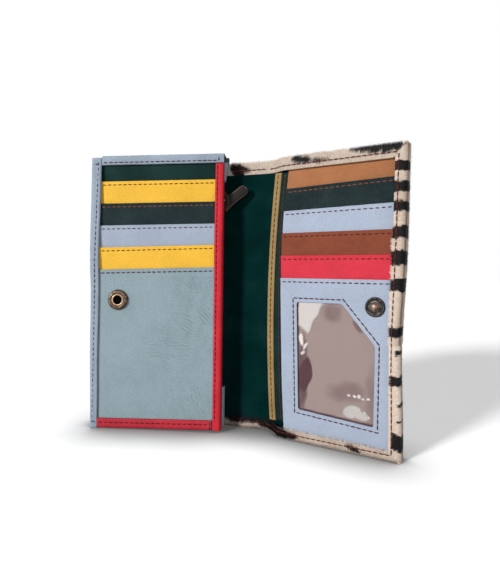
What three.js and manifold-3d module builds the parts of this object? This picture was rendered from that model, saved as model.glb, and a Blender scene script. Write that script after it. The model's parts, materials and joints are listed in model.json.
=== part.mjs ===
// Two-fold leather wallet with a zipped coin pouch, card pockets, an ID window
// and a press stud, standing open on its bottom edge.
// Millimetres, +Z up. The viewer looks along +Y at the inside of the wallet.
// Design frame: X = 0 is the pouch's right edge, y = 0 the inner face of the
// cover, where both folds have their axes. It is centred at the end.

import * as THREE from 'three';
import { mergeVertices } from 'three/addons/utils/BufferGeometryUtils.js';
import Module from 'manifold-3d';

const wasm = await Module();
wasm.setup();

// Overall sizes and the open angles of the two folds. The pouch stands proud of
// the cover, and the leaf reaches past the pouch when the wallet is shut
const COVER_HEIGHT = 197;
const POUCH_RISE = 3;
const POUCH_HEIGHT = COVER_HEIGHT + POUCH_RISE;
const POUCH_WIDTH = 98.7;
const SPINE_WIDTH = 26;
const LEAF_OVERHANG = 1.3;
const LEAF_WIDTH = POUCH_WIDTH + LEAF_OVERHANG;
const FOLD_OFFSET = 4;
const SPINE_ANGLE = 13.2;
const LEAF_ANGLE = 11.9;
const FOLD_GAP = 0.3;

// Cover: hair-on hide with turned hems, and a lining set between the hems
const HIDE = 1.5;
const LINING = 1.0;
const LAYER_GAP = 0.3;
const HEM = 8.8;
const CORNER_RADIUS = 2;
const COVER_MARGIN = 0.5;

// Leather and seams
const LEATHER = 1.0;
const CARD_LEATHER = 0.7;
const CARD_GAP = 0.2;
const SEAM_GAP = 0.1;
const BINDING = 0.9;

// Card pockets: a fan of T-shaped sheets, each one level above the last
const SHEET_STEP = CARD_LEATHER + CARD_GAP;
const FULL_LEVEL = 3.8;
const LEVEL_MARGIN = 0.25;
const DIP_RUN = 1;
const TONGUE_LENGTH = 45;
const TONGUE_INSET = 6;


// Slots: the first one's distance below its panel's top, then one pitch apart
const SLOTS = 5;
const POUCH_PITCH = 16;
const POUCH_SLOT_DROP = 18.5;
const POUCH_FIRST_SLOT = POUCH_HEIGHT - POUCH_SLOT_DROP;
const POUCH_POCKET_LEVEL = 3.0;
const LEAF_PITCH = 15.7;
const LEAF_SLOT_DROP = 21.6;
const LEAF_FIRST_SLOT = COVER_HEIGHT - LEAF_SLOT_DROP;
const LEAF_LAST_SLOT = LEAF_FIRST_SLOT - (SLOTS - 1) * LEAF_PITCH;

// Coin pouch: depth of its zipped side, bindings' visible widths
const ZIP_ZONE = 7.6;
const BACK_STEP = 1.4;
const TOP_BAND = 7;
const BOTTOM_BAND = 7.6;
const RIGHT_BAND = 6.8;
const LEFT_BAND_TOP = 7.5;
const LEFT_BAND_BOTTOM = 5.2;

// Zip
const TAPE = 0.5;
const TAPE_SEAT = 11;
const TOOTH_PITCH = 3;
const TOOTH_HEIGHT = 1.7;
const TOOTH_DEPTH = 1.25;
const TOOTH_THICKNESS = 1.5;
const ROW_GAP = 0.9;
const TAB_HEIGHT = 18;
const TAB_DEPTH = 17;
const TAB_PROUD = 1.0;
const SLIDER_LENGTH = 10;
const SLIDER_WIDTH = 5.2;
const SLIDER_PLATE = 1.0;
const SLIDER_POST = 0.5;
const SLIDER_POST_LENGTH = 2.5;
const SLIDER_CLEARANCE = 0.3;
const SLIDER_BELOW_TAB = 13.5;
const BRIDGE_HOLE = 0.85;
const BRIDGE_WALL = 0.7;
const BRIDGE_WIDTH = 1.4;

// Pull: a small link and a leather thong on it, at its angle in the photograph
const LINK_RADIUS = 2.4;
const LINK_WIRE = 0.55;
const THONG_LENGTH = 17.5;
const THONG_WIDTH = 6.4;
const THONG_THICKNESS = 1.8;
const THONG_EYE = 1.0;
const PULL_ANGLE = 21.7;

// Press stud: set in from the pouch's free edge and down from the last slot.
// SNAP_REACH is its distance from either fold, so that the halves meet when shut
const SNAP_INSET = 21;
const SNAP_DROP = 17.3;
const SNAP_REACH = POUCH_WIDTH + FOLD_OFFSET - SNAP_INSET;
const SNAP_HEIGHT = LEAF_LAST_SLOT - SNAP_DROP;
const SOCKET_RADIUS = 7.5;
const SOCKET_HEIGHT = 2.4;
const EYELET_RADIUS = 4.4;
const EYELET_BORE = 3.3;
const EYELET_WALL = 0.7;
const EYELET_FLANGE = 1;
const STUD_BASE_RADIUS = 6.4;
const STUD_BASE_HEIGHT = 1.3;
const STUD_RADIUS = 2.25;
const STUD_NECK = 1.8;
const STUD_FLANGE = 1;
const STUD_COLLAR = 0.6;
const STUD_BULB = 0.9;
const STUD_CROWN = 0.2;
const STUD_CROWN_INSET = 0.4;
const STUD_ENGAGE = 1.2;
const RIVET_FLANGE = 0.3;
const METAL_GAP = 0.1;

// Leaf: a bowed, bound divider that carries the pockets, and the ID window
const BOW_EDGE = 9.5;
const BOW_SAG = 4.8;
const BOW_DROP = 10.5;
const BOW_RUN = 10;
const BOW_CENTRE = COVER_HEIGHT / 2 - BOW_DROP;
const BOW_HALF = BOW_CENTRE + BOW_RUN;
const TRIM_WIDTH = 5.5;
const TRIM = 0.6;
const TRIM_TO_POCKETS = 10.4;
const TRIM_MARGIN = 1;
const DIVIDER = 0.8;
const DIVIDER_SHOULDER = 21;
const LEAF_HIDE_LAP = 1.2;
const LAP_GAP = 0.2;
const LAP_START = 15;
const LAP_JOIN = 1;
const LAP_SLOPE = 7;
const WINDOW_FILM = 0.25;
const WINDOW_LINING = 0.4;
const WINDOW_BORDER = 3;
const WINDOW_LEFT = 28;
const WINDOW_LEFT_FOOT = 30.4;
const WINDOW_RIGHT_INSET = 18;
const WINDOW_RIGHT = LEAF_WIDTH - WINDOW_RIGHT_INSET;
const WINDOW_DROP = 16.4;
const WINDOW_TOP = LEAF_LAST_SLOT - WINDOW_DROP;
const WINDOW_FOOT = 18.8;
const WINDOW_FOOT_RISE = 3.2;
const WINDOW_CHAMFER_X = 22;
const WINDOW_CHAMFER_Z = 25.8;

// How far a cutting tool stands out of what it cuts, and how finely curves are built
const OVERCUT = 1;
const LATHE_SIDES = 32;
const BOW_STEPS = 12;
const degrees = (value) => value * Math.PI / 180;

// Colours, roughness and metalness
const finish = (color, roughness, metalness = 0) =>
  new THREE.MeshStandardMaterial({ color, roughness, metalness });
const hideFinish = finish(0xd8c6b2, 0.85);
const liningFinish = finish(0x0c3a34, 0.7);
const paleBlue = finish(0xabbacb, 0.6);
const greyBlue = finish(0x9bb0b8, 0.6);
const darkGreen = finish(0x2b4644, 0.65);
const yellow = finish(0xf4c240, 0.6);
const red = finish(0xd33648, 0.6);
const orange = finish(0xb67c4e, 0.65);
const brown = finish(0x8d4b30, 0.65);
const tan = finish(0xa58a58, 0.6);
const taupe = finish(0x9c8486, 0.5);
const film = finish(0xb9aaa8, 0.2);
const thongBrown = finish(0x33211a, 0.7);
const bronze = finish(0x6b5436, 0.4, 0.9);
const gunmetal = finish(0x54504c, 0.4, 0.9);
const brass = finish(0xa98a4e, 0.35, 0.9);

// Closed solids and their joins and cuts
function toSolid(geometry) {
  const bare = geometry.clone();
  bare.deleteAttribute('normal');
  bare.deleteAttribute('uv');
  const merged = mergeVertices(bare, 1e-4);
  const vertProperties = new Float32Array(merged.attributes.position.array);
  const triVerts = new Uint32Array(merged.index.array);
  return new wasm.Manifold(new wasm.Mesh({ numProp: 3, vertProperties, triVerts }));
}

function toGeometry(solid) {
  const mesh = solid.getMesh();
  const geometry = new THREE.BufferGeometry();
  geometry.setAttribute('position', new THREE.BufferAttribute(new Float32Array(mesh.vertProperties), 3));
  geometry.setIndex(new THREE.BufferAttribute(new Uint32Array(mesh.triVerts), 1));
  geometry.computeVertexNormals();
  return geometry;
}

const cut = (body, ...tools) =>
  toGeometry(tools.reduce((rest, tool) => rest.subtract(toSolid(tool)), toSolid(body)));
const join = (body, ...others) =>
  toGeometry(others.reduce((sum, other) => sum.add(toSolid(other)), toSolid(body)));
const common = (body, other) => toGeometry(toSolid(body).intersect(toSolid(other)));

// Outlines run anticlockwise, so that holes in them are turned the right way
function outline(points) {
  const corners = points.map(([a, b]) => new THREE.Vector2(a, b));
  return new THREE.Shape(THREE.ShapeUtils.isClockWise(corners) ? corners.reverse() : corners);
}

const rectangle = (a0, a1, b0, b1) => outline([[a0, b0], [a1, b0], [a1, b1], [a0, b1]]);

function roundedRectangle(a0, a1, b0, b1, radius) {
  const shape = new THREE.Shape();
  shape.moveTo(a0 + radius, b0);
  shape.lineTo(a1 - radius, b0);
  shape.absarc(a1 - radius, b0 + radius, radius, -Math.PI / 2, 0);
  shape.absarc(a1 - radius, b1 - radius, radius, 0, Math.PI / 2);
  shape.absarc(a0 + radius, b1 - radius, radius, Math.PI / 2, Math.PI);
  shape.absarc(a0 + radius, b0 + radius, radius, Math.PI, 1.5 * Math.PI);
  return shape;
}

// A sheet with an (x, z) outline, from y = back to y = back - thickness
function sheet(shape, back, thickness, curveSegments = 12) {
  const geometry = new THREE.ExtrudeGeometry(shape, { depth: thickness, bevelEnabled: false, curveSegments });
  geometry.rotateX(Math.PI / 2);
  geometry.translate(0, back, 0);
  return geometry;
}

// A strip with a (y, z) outline, from x = x0 to x = x1
function strip(shape, x0, x1) {
  const geometry = new THREE.ExtrudeGeometry(shape, { depth: x1 - x0, bevelEnabled: false });
  const turn = new THREE.Matrix4().makeBasis(
    new THREE.Vector3(0, 1, 0), new THREE.Vector3(0, 0, 1), new THREE.Vector3(1, 0, 0));
  geometry.applyMatrix4(turn);
  geometry.translate(x0, 0, 0);
  return geometry;
}

// A bar with an (x, y) outline, from z = z0 to z = z1
function bar(shape, z0, z1) {
  const geometry = new THREE.ExtrudeGeometry(shape, { depth: z1 - z0, bevelEnabled: false });
  geometry.translate(0, 0, z0);
  return geometry;
}

function piece(group, name, geometry, material) {
  const mesh = new THREE.Mesh(geometry, material);
  mesh.name = name;
  group.add(mesh);
  return mesh;
}

// The cover's layers, from the inside out
const liningFront = LAYER_GAP;
const hideInner = liningFront + LINING + LAYER_GAP;
const coverBack = hideInner + HIDE;

// One panel of the cover: the hide is solid under its hems and thin behind the lining
function coverPanel(x0, x1, leftHem) {
  const whole = sheet(rectangle(x0, x1, 0, COVER_HEIGHT), coverBack, coverBack);
  const start = leftHem ? x0 + HEM : x0 - OVERCUT;
  const recess = sheet(rectangle(start, x1 + OVERCUT, HEM, COVER_HEIGHT - HEM), hideInner,
    hideInner + OVERCUT);
  return cut(whole, recess);
}

function liningPanel(x0, x1) {
  const shape = rectangle(x0, x1, HEM + LAYER_GAP, COVER_HEIGHT - HEM - LAYER_GAP);
  return sheet(shape, liningFront + LINING, LINING);
}

// Card pockets. base is the depth of the stack's back face in front of y = 0
function makeStack(base, pitch, firstSlot, top, pocketLevel) {
  return { base, pitch, firstSlot, top, pocketLevel };
}

const slotHeight = (stack, index) => stack.firstSlot - (index - 1) * stack.pitch;
const frontDepth = (stack, level) => stack.base + CARD_LEATHER + level * SHEET_STEP;

// Level of a sheet's front at a distance below its own top edge
function sheetLevel(stack, index, distance, floor) {
  const fanned = Math.min(index, FULL_LEVEL - distance / stack.pitch);
  return Math.max(floor, fanned);
}

// Side view of a sheet, as a (y, z) outline that steps back where the fan thins out
function sheetSide(stack, index, top, length, floor) {
  const breaks = [0, (FULL_LEVEL - index) * stack.pitch, (FULL_LEVEL - floor) * stack.pitch, length];
  const stops = breaks.filter((value) => value >= 0 && value <= length).sort((a, b) => a - b);
  const distances = stops.filter((value, k) => k === 0 || value - stops[k - 1] > 1e-3);
  const depths = distances.map((value) => frontDepth(stack, sheetLevel(stack, index, value, floor)));
  const front = distances.map((value, k) => [-depths[k], top - value]);
  const back = distances.map((value, k) => [CARD_LEATHER - depths[k], top - value]);
  return outline([...front, ...back.reverse()]);
}

// A pocket sheet: its side view across the stack, trimmed to a T or a full panel
function pocketSheet(stack, index, shape, x0, x1, top, length, floor) {
  return common(strip(sheetSide(stack, index, top, length, floor), x0 - OVERCUT, x1 + OVERCUT),
    sheet(shape, 0, stack.base + 2 * FULL_LEVEL * SHEET_STEP));
}

// Front of the whole stack, with a margin over the top edges of its pockets
function stackFront(stack, extra) {
  const peak = frontDepth(stack, FULL_LEVEL + LEVEL_MARGIN) + extra;
  const lowLevel = stack.pocketLevel + LEVEL_MARGIN;
  const low = frontDepth(stack, Math.min(lowLevel, FULL_LEVEL + LEVEL_MARGIN)) + extra;
  const lastSlot = slotHeight(stack, SLOTS);
  const dip = lastSlot - (FULL_LEVEL - stack.pocketLevel) * stack.pitch;
  const stops = [
    [stack.top, frontDepth(stack, 2 * LEVEL_MARGIN) + extra],
    [slotHeight(stack, SLOTS - 1), peak],
    [lastSlot, peak],
    [dip - DIP_RUN, low],
    [0, low],
  ];
  return stops;
}

function frontAt(stops, height) {
  const k = Math.max(1, stops.findIndex(([z]) => z <= height));
  const [z0, y0] = stops[k - 1];
  const [z1, y1] = stops[k];
  return y0 + (y1 - y0) * (z0 - height) / (z0 - z1);
}

// (y, z) outline between a flat back and the stack's front, from z0 up to z1
function stackSide(stops, back, z0, z1) {
  const inside = stops.filter(([z]) => z > z0 && z < z1);
  const front = [[z1, frontAt(stops, z1)], ...inside, [z0, frontAt(stops, z0)]];
  return outline([[-back, z0], [-back, z1], ...front.map(([z, y]) => [-y, z])]);
}

// Pouch: layers in front of the cover
const pouchBackFace = BACK_STEP;
const pouchBackFront = pouchBackFace + LEATHER;
const zipBack = pouchBackFront + CARD_GAP;
const zipFront = zipBack + ZIP_ZONE;
const pouchFrontBack = zipFront + CARD_GAP;
const pouchStack = makeStack(pouchFrontBack + LEATHER + CARD_GAP, POUCH_PITCH, POUCH_FIRST_SLOT,
  POUCH_HEIGHT - BINDING - 2 * SEAM_GAP, POUCH_POCKET_LEVEL);
const pouchLeft = -POUCH_WIDTH;
const panelLeft = pouchLeft + BINDING + SEAM_GAP;
const panelRight = -BINDING - SEAM_GAP;
const panelBottom = BINDING + SEAM_GAP;
const wrapInner = stackFront(pouchStack, SEAM_GAP);
const wrapOuter = stackFront(pouchStack, SEAM_GAP + BINDING);
const wrapBack = pouchBackFace - SEAM_GAP - BINDING;

const leftHalf = new THREE.Group();

function addBackCover() {
  const x0 = pouchLeft + COVER_MARGIN;
  const x1 = FOLD_OFFSET - FOLD_GAP / 2;
  const plain = coverPanel(x0, x1, true);
  const corners = sheet(roundedRectangle(x0, x1 + CORNER_RADIUS, 0, COVER_HEIGHT, CORNER_RADIUS),
    coverBack, coverBack);
  piece(leftHalf, 'back_cover', common(plain, corners), hideFinish);
  piece(leftHalf, 'back_lining', liningPanel(x0 + HEM + LAYER_GAP, x1), liningFinish);
}

function addPouchWalls() {
  const back = rectangle(panelLeft, TAB_PROUD, panelBottom, pouchStack.top);
  piece(leftHalf, 'pouch_back', sheet(back, -pouchBackFace, LEATHER), paleBlue);
  const front = rectangle(panelLeft, panelRight, panelBottom, pouchStack.top);
  piece(leftHalf, 'pouch_front', sheet(front, -pouchFrontBack, LEATHER), darkGreen);
}

// A T-shaped sheet: a full-width head over a narrower tongue
function teeOutline(x0, x1, top, head, length) {
  return outline([
    [x0, top], [x0, top - head], [x0 + TONGUE_INSET, top - head], [x0 + TONGUE_INSET, top - length],
    [x1 - TONGUE_INSET, top - length], [x1 - TONGUE_INSET, top - head], [x1, top - head], [x1, top],
  ]);
}

function addPouchPockets() {
  const height = pouchStack.top - panelBottom;
  const full = rectangle(panelLeft, panelRight, panelBottom, pouchStack.top);
  piece(leftHalf, 'pouch_pocket_backing',
    pocketSheet(pouchStack, 0, full, panelLeft, panelRight, pouchStack.top, height, 0), darkGreen);
  const colours = [['yellow', yellow], ['green', darkGreen], ['blue', paleBlue], ['yellow', yellow]];
  colours.forEach(([word, material], k) => {
    const top = slotHeight(pouchStack, k + 1);
    const shape = teeOutline(panelLeft, panelRight, top, POUCH_PITCH, TONGUE_LENGTH);
    const geometry = pocketSheet(pouchStack, k + 1, shape, panelLeft, panelRight, top, TONGUE_LENGTH, 0);
    piece(leftHalf, `pouch_pocket_${k + 1}_${word}`, geometry, material);
  });
  const top = slotHeight(pouchStack, SLOTS);
  const shape = rectangle(panelLeft, panelRight, panelBottom, top);
  const hole = new THREE.Path().absarc(FOLD_OFFSET - SNAP_REACH, SNAP_HEIGHT,
    EYELET_RADIUS - EYELET_WALL + METAL_GAP, 0, 2 * Math.PI);
  shape.holes.push(hole);
  const length = top - panelBottom;
  piece(leftHalf, 'pouch_pocket_5_large', pocketSheet(pouchStack, 5, shape, panelLeft, panelRight,
    top, length, POUCH_POCKET_LEVEL), greyBlue);
}

// Strips of leather folded round the pouch's four edges
function addPouchBindings() {
  const wrapFace = pouchBackFace - SEAM_GAP;
  const leftOuter = strip(stackSide(wrapOuter, wrapBack, 0, POUCH_HEIGHT), pouchLeft,
    pouchLeft + LEFT_BAND_TOP);
  const leftInner = strip(stackSide(wrapInner, wrapFace, BINDING, POUCH_HEIGHT - BINDING),
    pouchLeft + BINDING, pouchLeft + LEFT_BAND_TOP + OVERCUT);
  const taper = outline([[pouchLeft, 0], [pouchLeft + LEFT_BAND_BOTTOM, 0],
    [pouchLeft + LEFT_BAND_TOP, POUCH_HEIGHT], [pouchLeft, POUCH_HEIGHT]]);
  const depth = frontDepth(pouchStack, 2 * FULL_LEVEL);
  piece(leftHalf, 'left_binding', common(cut(leftOuter, leftInner), sheet(taper, 0, depth)), paleBlue);

  const topInside = stackSide(wrapInner, wrapFace, 0, POUCH_HEIGHT - BINDING);
  const topX = pouchLeft + LEFT_BAND_TOP + CARD_GAP;
  piece(leftHalf, 'top_binding', cut(
    strip(stackSide(wrapOuter, wrapBack, POUCH_HEIGHT - TOP_BAND, POUCH_HEIGHT), topX, 0),
    strip(topInside, topX - OVERCUT, OVERCUT)), paleBlue);

  const bottomInside = stackSide(wrapInner, wrapFace, BINDING, POUCH_HEIGHT);
  const bottomX = pouchLeft + LEFT_BAND_TOP;
  const bottomEnd = -RIGHT_BAND - CARD_GAP;
  piece(leftHalf, 'bottom_binding', cut(
    strip(stackSide(wrapOuter, wrapBack, 0, BOTTOM_BAND), bottomX, bottomEnd),
    strip(bottomInside, bottomX - OVERCUT, bottomEnd + OVERCUT)), red);

  const rightTop = POUCH_HEIGHT - TOP_BAND - CARD_GAP;
  const rightBack = pouchFrontBack - SEAM_GAP - BINDING;
  const rightInside = stackSide(wrapInner, rightBack + BINDING, BINDING, POUCH_HEIGHT);
  piece(leftHalf, 'right_binding', cut(
    strip(stackSide(wrapOuter, rightBack, 0, rightTop), -RIGHT_BAND, 0),
    strip(rightInside, -RIGHT_BAND - OVERCUT, -BINDING)), red);
}

// Zip: two tapes with a row of teeth each, sewn to the pouch's two walls
const zipX = -RIGHT_BAND - CARD_GAP - TAPE / 2;
const zipY = -(zipBack + zipFront) / 2;
const tabBottomZ = panelBottom + SEAM_GAP;
const tabTopZ = pouchStack.top - SEAM_GAP - TAB_HEIGHT;
const zipLow = tabBottomZ + TAB_HEIGHT + LAYER_GAP;
const zipHigh = tabTopZ - LAYER_GAP;
const sliderHeight = tabTopZ - SLIDER_BELOW_TAB;

// side is +1 for the tape on the back wall and -1 for the one on the front wall
function zipTape(side) {
  const wall = zipY + side * ZIP_ZONE / 2;
  const tip = zipY + side * ROW_GAP / 2;
  const root = tip + side * TOOTH_DEPTH;
  const x1 = zipX + TAPE / 2;
  const x0 = zipX - TAPE / 2;
  const section = outline([
    [x0 - TAPE_SEAT, wall], [x1, wall], [x1, root - side * TAPE], [x0, root - side * TAPE],
    [x0, wall - side * TAPE], [x0 - TAPE_SEAT, wall - side * TAPE],
  ]);
  const count = Math.floor((zipHigh - zipLow) / TOOTH_PITCH);
  const first = (zipLow + zipHigh - (count - 1) * TOOTH_PITCH) / 2;
  const comb = [[root, first - TOOTH_PITCH / 2]];
  for (let k = 0; k < count; k += 1) {
    const z = first + k * TOOTH_PITCH;
    const neck = root - side * TAPE;
    comb.push([neck, z - TOOTH_HEIGHT / 2], [tip, z - TOOTH_HEIGHT / 2]);
    comb.push([tip, z + TOOTH_HEIGHT / 2], [neck, z + TOOTH_HEIGHT / 2]);
  }
  comb.push([root, first + (count - 0.5) * TOOTH_PITCH]);
  const teeth = strip(outline(comb), zipX - TOOTH_THICKNESS / 2, zipX + TOOTH_THICKNESS / 2);
  return join(bar(section, zipLow, zipHigh), teeth);
}

// A folded leather tab that closes one end of the zip
function zipTab(proud, z0) {
  const back = -zipBack;
  const front = -(pouchFrontBack - SEAM_GAP - BINDING - CARD_GAP);
  const section = outline([
    [proud - TAB_DEPTH, back], [proud - TAB_DEPTH, back - LEATHER], [proud - LEATHER, back - LEATHER],
    [proud - LEATHER, front + LEATHER], [proud - TAB_DEPTH, front + LEATHER],
    [proud - TAB_DEPTH, front], [proud, front], [proud, back],
  ]);
  return bar(section, z0, z0 + TAB_HEIGHT);
}

function addZip() {
  piece(leftHalf, 'zip_tape_back', zipTape(1), darkGreen);
  piece(leftHalf, 'zip_tape_front', zipTape(-1), darkGreen);
  piece(leftHalf, 'zip_tab_top', zipTab(TAB_PROUD, tabTopZ), paleBlue);
  piece(leftHalf, 'zip_tab_bottom', zipTab(0, tabBottomZ), paleBlue);
}

// Slider: two shield-shaped plates, a post between them and a bridge for the link
const plateGap = TOOTH_THICKNESS / 2 + SLIDER_CLEARANCE;
const plateFace = zipX + plateGap + SLIDER_PLATE;
const bridgeX = plateFace + BRIDGE_HOLE + SLIDER_CLEARANCE;
const slider = new THREE.Group();
const pull = new THREE.Group();

function sliderPlate() {
  const half = SLIDER_WIDTH / 2;
  const shape = new THREE.Shape();
  shape.moveTo(zipY - half * 0.65, -SLIDER_LENGTH / 2);
  shape.lineTo(zipY + half * 0.65, -SLIDER_LENGTH / 2);
  shape.quadraticCurveTo(zipY + half, 0, zipY + half, SLIDER_LENGTH / 4);
  shape.quadraticCurveTo(zipY + half, SLIDER_LENGTH / 2, zipY, SLIDER_LENGTH / 2);
  shape.quadraticCurveTo(zipY - half, SLIDER_LENGTH / 2, zipY - half, SLIDER_LENGTH / 4);
  shape.quadraticCurveTo(zipY - half, 0, zipY - half * 0.65, -SLIDER_LENGTH / 2);
  return shape;
}

function sliderBridge() {
  const outer = BRIDGE_HOLE + BRIDGE_WALL;
  const shape = new THREE.Shape();
  shape.moveTo(plateFace - SLIDER_PLATE / 2, -outer - BRIDGE_WALL);
  shape.lineTo(bridgeX, -outer);
  shape.absarc(bridgeX, 0, outer, -Math.PI / 2, Math.PI / 2);
  shape.lineTo(plateFace - SLIDER_PLATE / 2, outer + BRIDGE_WALL);
  shape.closePath();
  shape.holes.push(new THREE.Path().absarc(bridgeX, 0, BRIDGE_HOLE, 0, 2 * Math.PI));
  return sheet(shape, zipY + BRIDGE_WIDTH / 2, BRIDGE_WIDTH);
}

function addSlider() {
  slider.position.z = sliderHeight;
  const plates = [1, -1].map((side) => {
    const near = zipX + side * plateGap;
    const far = near + side * SLIDER_PLATE;
    return strip(sliderPlate(), Math.min(near, far), Math.max(near, far));
  });
  const postTop = SLIDER_LENGTH / 2 - SLIDER_PLATE;
  const post = strip(rectangle(zipY - SLIDER_POST / 2, zipY + SLIDER_POST / 2,
    postTop - SLIDER_POST_LENGTH, postTop), zipX - plateGap - SLIDER_PLATE / 2,
  zipX + plateGap + SLIDER_PLATE / 2);
  piece(slider, 'zip_slider', join(plates[0], plates[1], post, sliderBridge()), brass);
}

function addPull() {
  pull.position.set(bridgeX, zipY, 0);
  pull.rotation.y = -degrees(PULL_ANGLE);
  const link = new THREE.TorusGeometry(LINK_RADIUS, LINK_WIRE, 6, 20);
  link.translate(LINK_RADIUS, 0, 0);
  piece(pull, 'pull_link', link, brass);

  const half = THONG_WIDTH / 2;
  const eye = 2 * LINK_RADIUS;
  const neck = LINK_WIRE + THONG_EYE + BRIDGE_WALL;
  const shape = new THREE.Shape();
  shape.moveTo(eye, neck);
  shape.absarc(eye, 0, neck, Math.PI / 2, 1.5 * Math.PI);
  shape.lineTo(eye + THONG_WIDTH, -half);
  shape.lineTo(eye + THONG_LENGTH - half, -half);
  shape.absarc(eye + THONG_LENGTH - half, 0, half, -Math.PI / 2, Math.PI / 2);
  shape.lineTo(eye + THONG_WIDTH, half);
  shape.closePath();
  shape.holes.push(new THREE.Path().absarc(eye, 0, THONG_EYE, 0, 2 * Math.PI));
  piece(pull, 'pull_thong', sheet(shape, THONG_THICKNESS / 2, THONG_THICKNESS), thongBrown);
  slider.add(pull);
}

// Revolved metal parts. A profile is (radius, height) above the leather that it
// sits on, and it faces the viewer, so heights run towards -Y
function turned(profile, x, seat, z) {
  const points = profile.map(([radius, height]) => new THREE.Vector2(radius, height));
  const geometry = new THREE.LatheGeometry([...points, points[0].clone()], LATHE_SIDES);
  geometry.rotateX(Math.PI);
  geometry.translate(x, seat, z);
  return geometry;
}

function addSocket() {
  const seat = -frontDepth(pouchStack, POUCH_POCKET_LEVEL);
  const x = FOLD_OFFSET - SNAP_REACH;
  const lip = SOCKET_HEIGHT * 0.35;
  const rim = SOCKET_RADIUS - SOCKET_HEIGHT * 0.4;
  const socket = [
    [EYELET_RADIUS + METAL_GAP, METAL_GAP], [SOCKET_RADIUS, METAL_GAP], [SOCKET_RADIUS, lip],
    [rim, SOCKET_HEIGHT], [EYELET_RADIUS + METAL_GAP + EYELET_WALL, SOCKET_HEIGHT],
    [EYELET_RADIUS + METAL_GAP, SOCKET_HEIGHT * 0.8],
  ];
  piece(leftHalf, 'snap_socket', turned(socket, x, seat, SNAP_HEIGHT), bronze);
  const barrel = EYELET_RADIUS - EYELET_WALL;
  const behind = -CARD_LEATHER - METAL_GAP;
  const eyelet = [
    [EYELET_BORE, behind - RIVET_FLANGE], [EYELET_RADIUS + EYELET_FLANGE, behind - RIVET_FLANGE],
    [EYELET_RADIUS + EYELET_FLANGE, behind], [barrel, behind], [barrel, METAL_GAP],
    [EYELET_RADIUS, METAL_GAP], [EYELET_RADIUS, SOCKET_HEIGHT * 0.75], [EYELET_BORE, SOCKET_HEIGHT * 0.75],
  ];
  piece(leftHalf, 'snap_eyelet', turned(eyelet, x, seat, SNAP_HEIGHT), brass);
}

addBackCover();
addPouchWalls();
addPouchPockets();
addPouchBindings();
addZip();
addSocket();
addSlider();
addPull();
leftHalf.add(slider);

// Spine, turned about the first fold
const spine = new THREE.Group();
spine.position.set(FOLD_OFFSET, 0, 0);
spine.rotation.z = -degrees(SPINE_ANGLE);
piece(spine, 'spine_cover', coverPanel(FOLD_GAP / 2, SPINE_WIDTH - FOLD_GAP / 2, false), hideFinish);
piece(spine, 'spine_lining', liningPanel(FOLD_GAP / 2, SPINE_WIDTH - FOLD_GAP / 2), liningFinish);

// Leaf, turned about the second fold at the spine's far edge
const leaf = new THREE.Group();
leaf.position.set(SPINE_WIDTH, 0, 0);
leaf.rotation.z = -degrees(LEAF_ANGLE);
spine.add(leaf);

const trimBack = LAYER_GAP;
const dividerBack = trimBack + TRIM + SEAM_GAP;
const dividerFront = dividerBack + DIVIDER;
const lapInset = HIDE + LAP_GAP;
const leafStack = makeStack(dividerFront + CARD_GAP, LEAF_PITCH, LEAF_FIRST_SLOT,
  COVER_HEIGHT - lapInset, FULL_LEVEL);
const leafRight = LEAF_WIDTH - lapInset;
const lapInner = stackFront(leafStack, LAP_GAP);
const lapOuter = stackFront(leafStack, LAP_GAP + LEAF_HIDE_LAP);
const trimLow = HEM + TRIM_MARGIN;
const trimHigh = COVER_HEIGHT - HEM - TRIM_MARGIN;

// The divider's free edge bows towards the spine
function bow(height, inset) {
  const share = (height - BOW_CENTRE) / BOW_HALF;
  return BOW_EDGE - BOW_SAG * (1 - share * share) + inset;
}

function bowPoints(inset, z0, z1) {
  const points = [];
  for (let k = 0; k <= BOW_STEPS; k += 1) {
    const z = z0 + (z1 - z0) * k / BOW_STEPS;
    points.push([bow(z, inset), z]);
  }
  return points;
}

// Cover of the leaf: the hide wraps round three edges and laps over the pockets
function addLeafCover() {
  const flat = coverPanel(FOLD_GAP / 2, LAP_START + LAP_JOIN, false);
  const wrap = strip(stackSide(lapOuter, -coverBack, 0, COVER_HEIGHT), LAP_START, LEAF_WIDTH);
  const cavity = strip(stackSide(lapInner, -hideInner, HIDE, COVER_HEIGHT - HIDE),
    LAP_START - OVERCUT, LEAF_WIDTH - HIDE);
  const depth = frontDepth(leafStack, 2 * FULL_LEVEL);
  const opening = sheet(rectangle(0, LEAF_WIDTH - HEM, HEM, COVER_HEIGHT - HEM), hideInner,
    hideInner + depth);
  const ramp = bar(outline([[0, 0], [0, -depth], [LAP_START + LAP_SLOPE * depth / FULL_LEVEL, -depth],
    [LAP_START, 0]]), -OVERCUT, COVER_HEIGHT + OVERCUT);
  const shell = cut(wrap, cavity, opening, ramp);
  const corners = sheet(roundedRectangle(-CORNER_RADIUS, LEAF_WIDTH, 0, COVER_HEIGHT, CORNER_RADIUS),
    coverBack, coverBack + depth);
  piece(leaf, 'leaf_cover', common(join(flat, shell), corners), hideFinish);
  piece(leaf, 'leaf_lining', liningPanel(FOLD_GAP / 2, LEAF_WIDTH - HIDE - LAYER_GAP), liningFinish);
}

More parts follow.
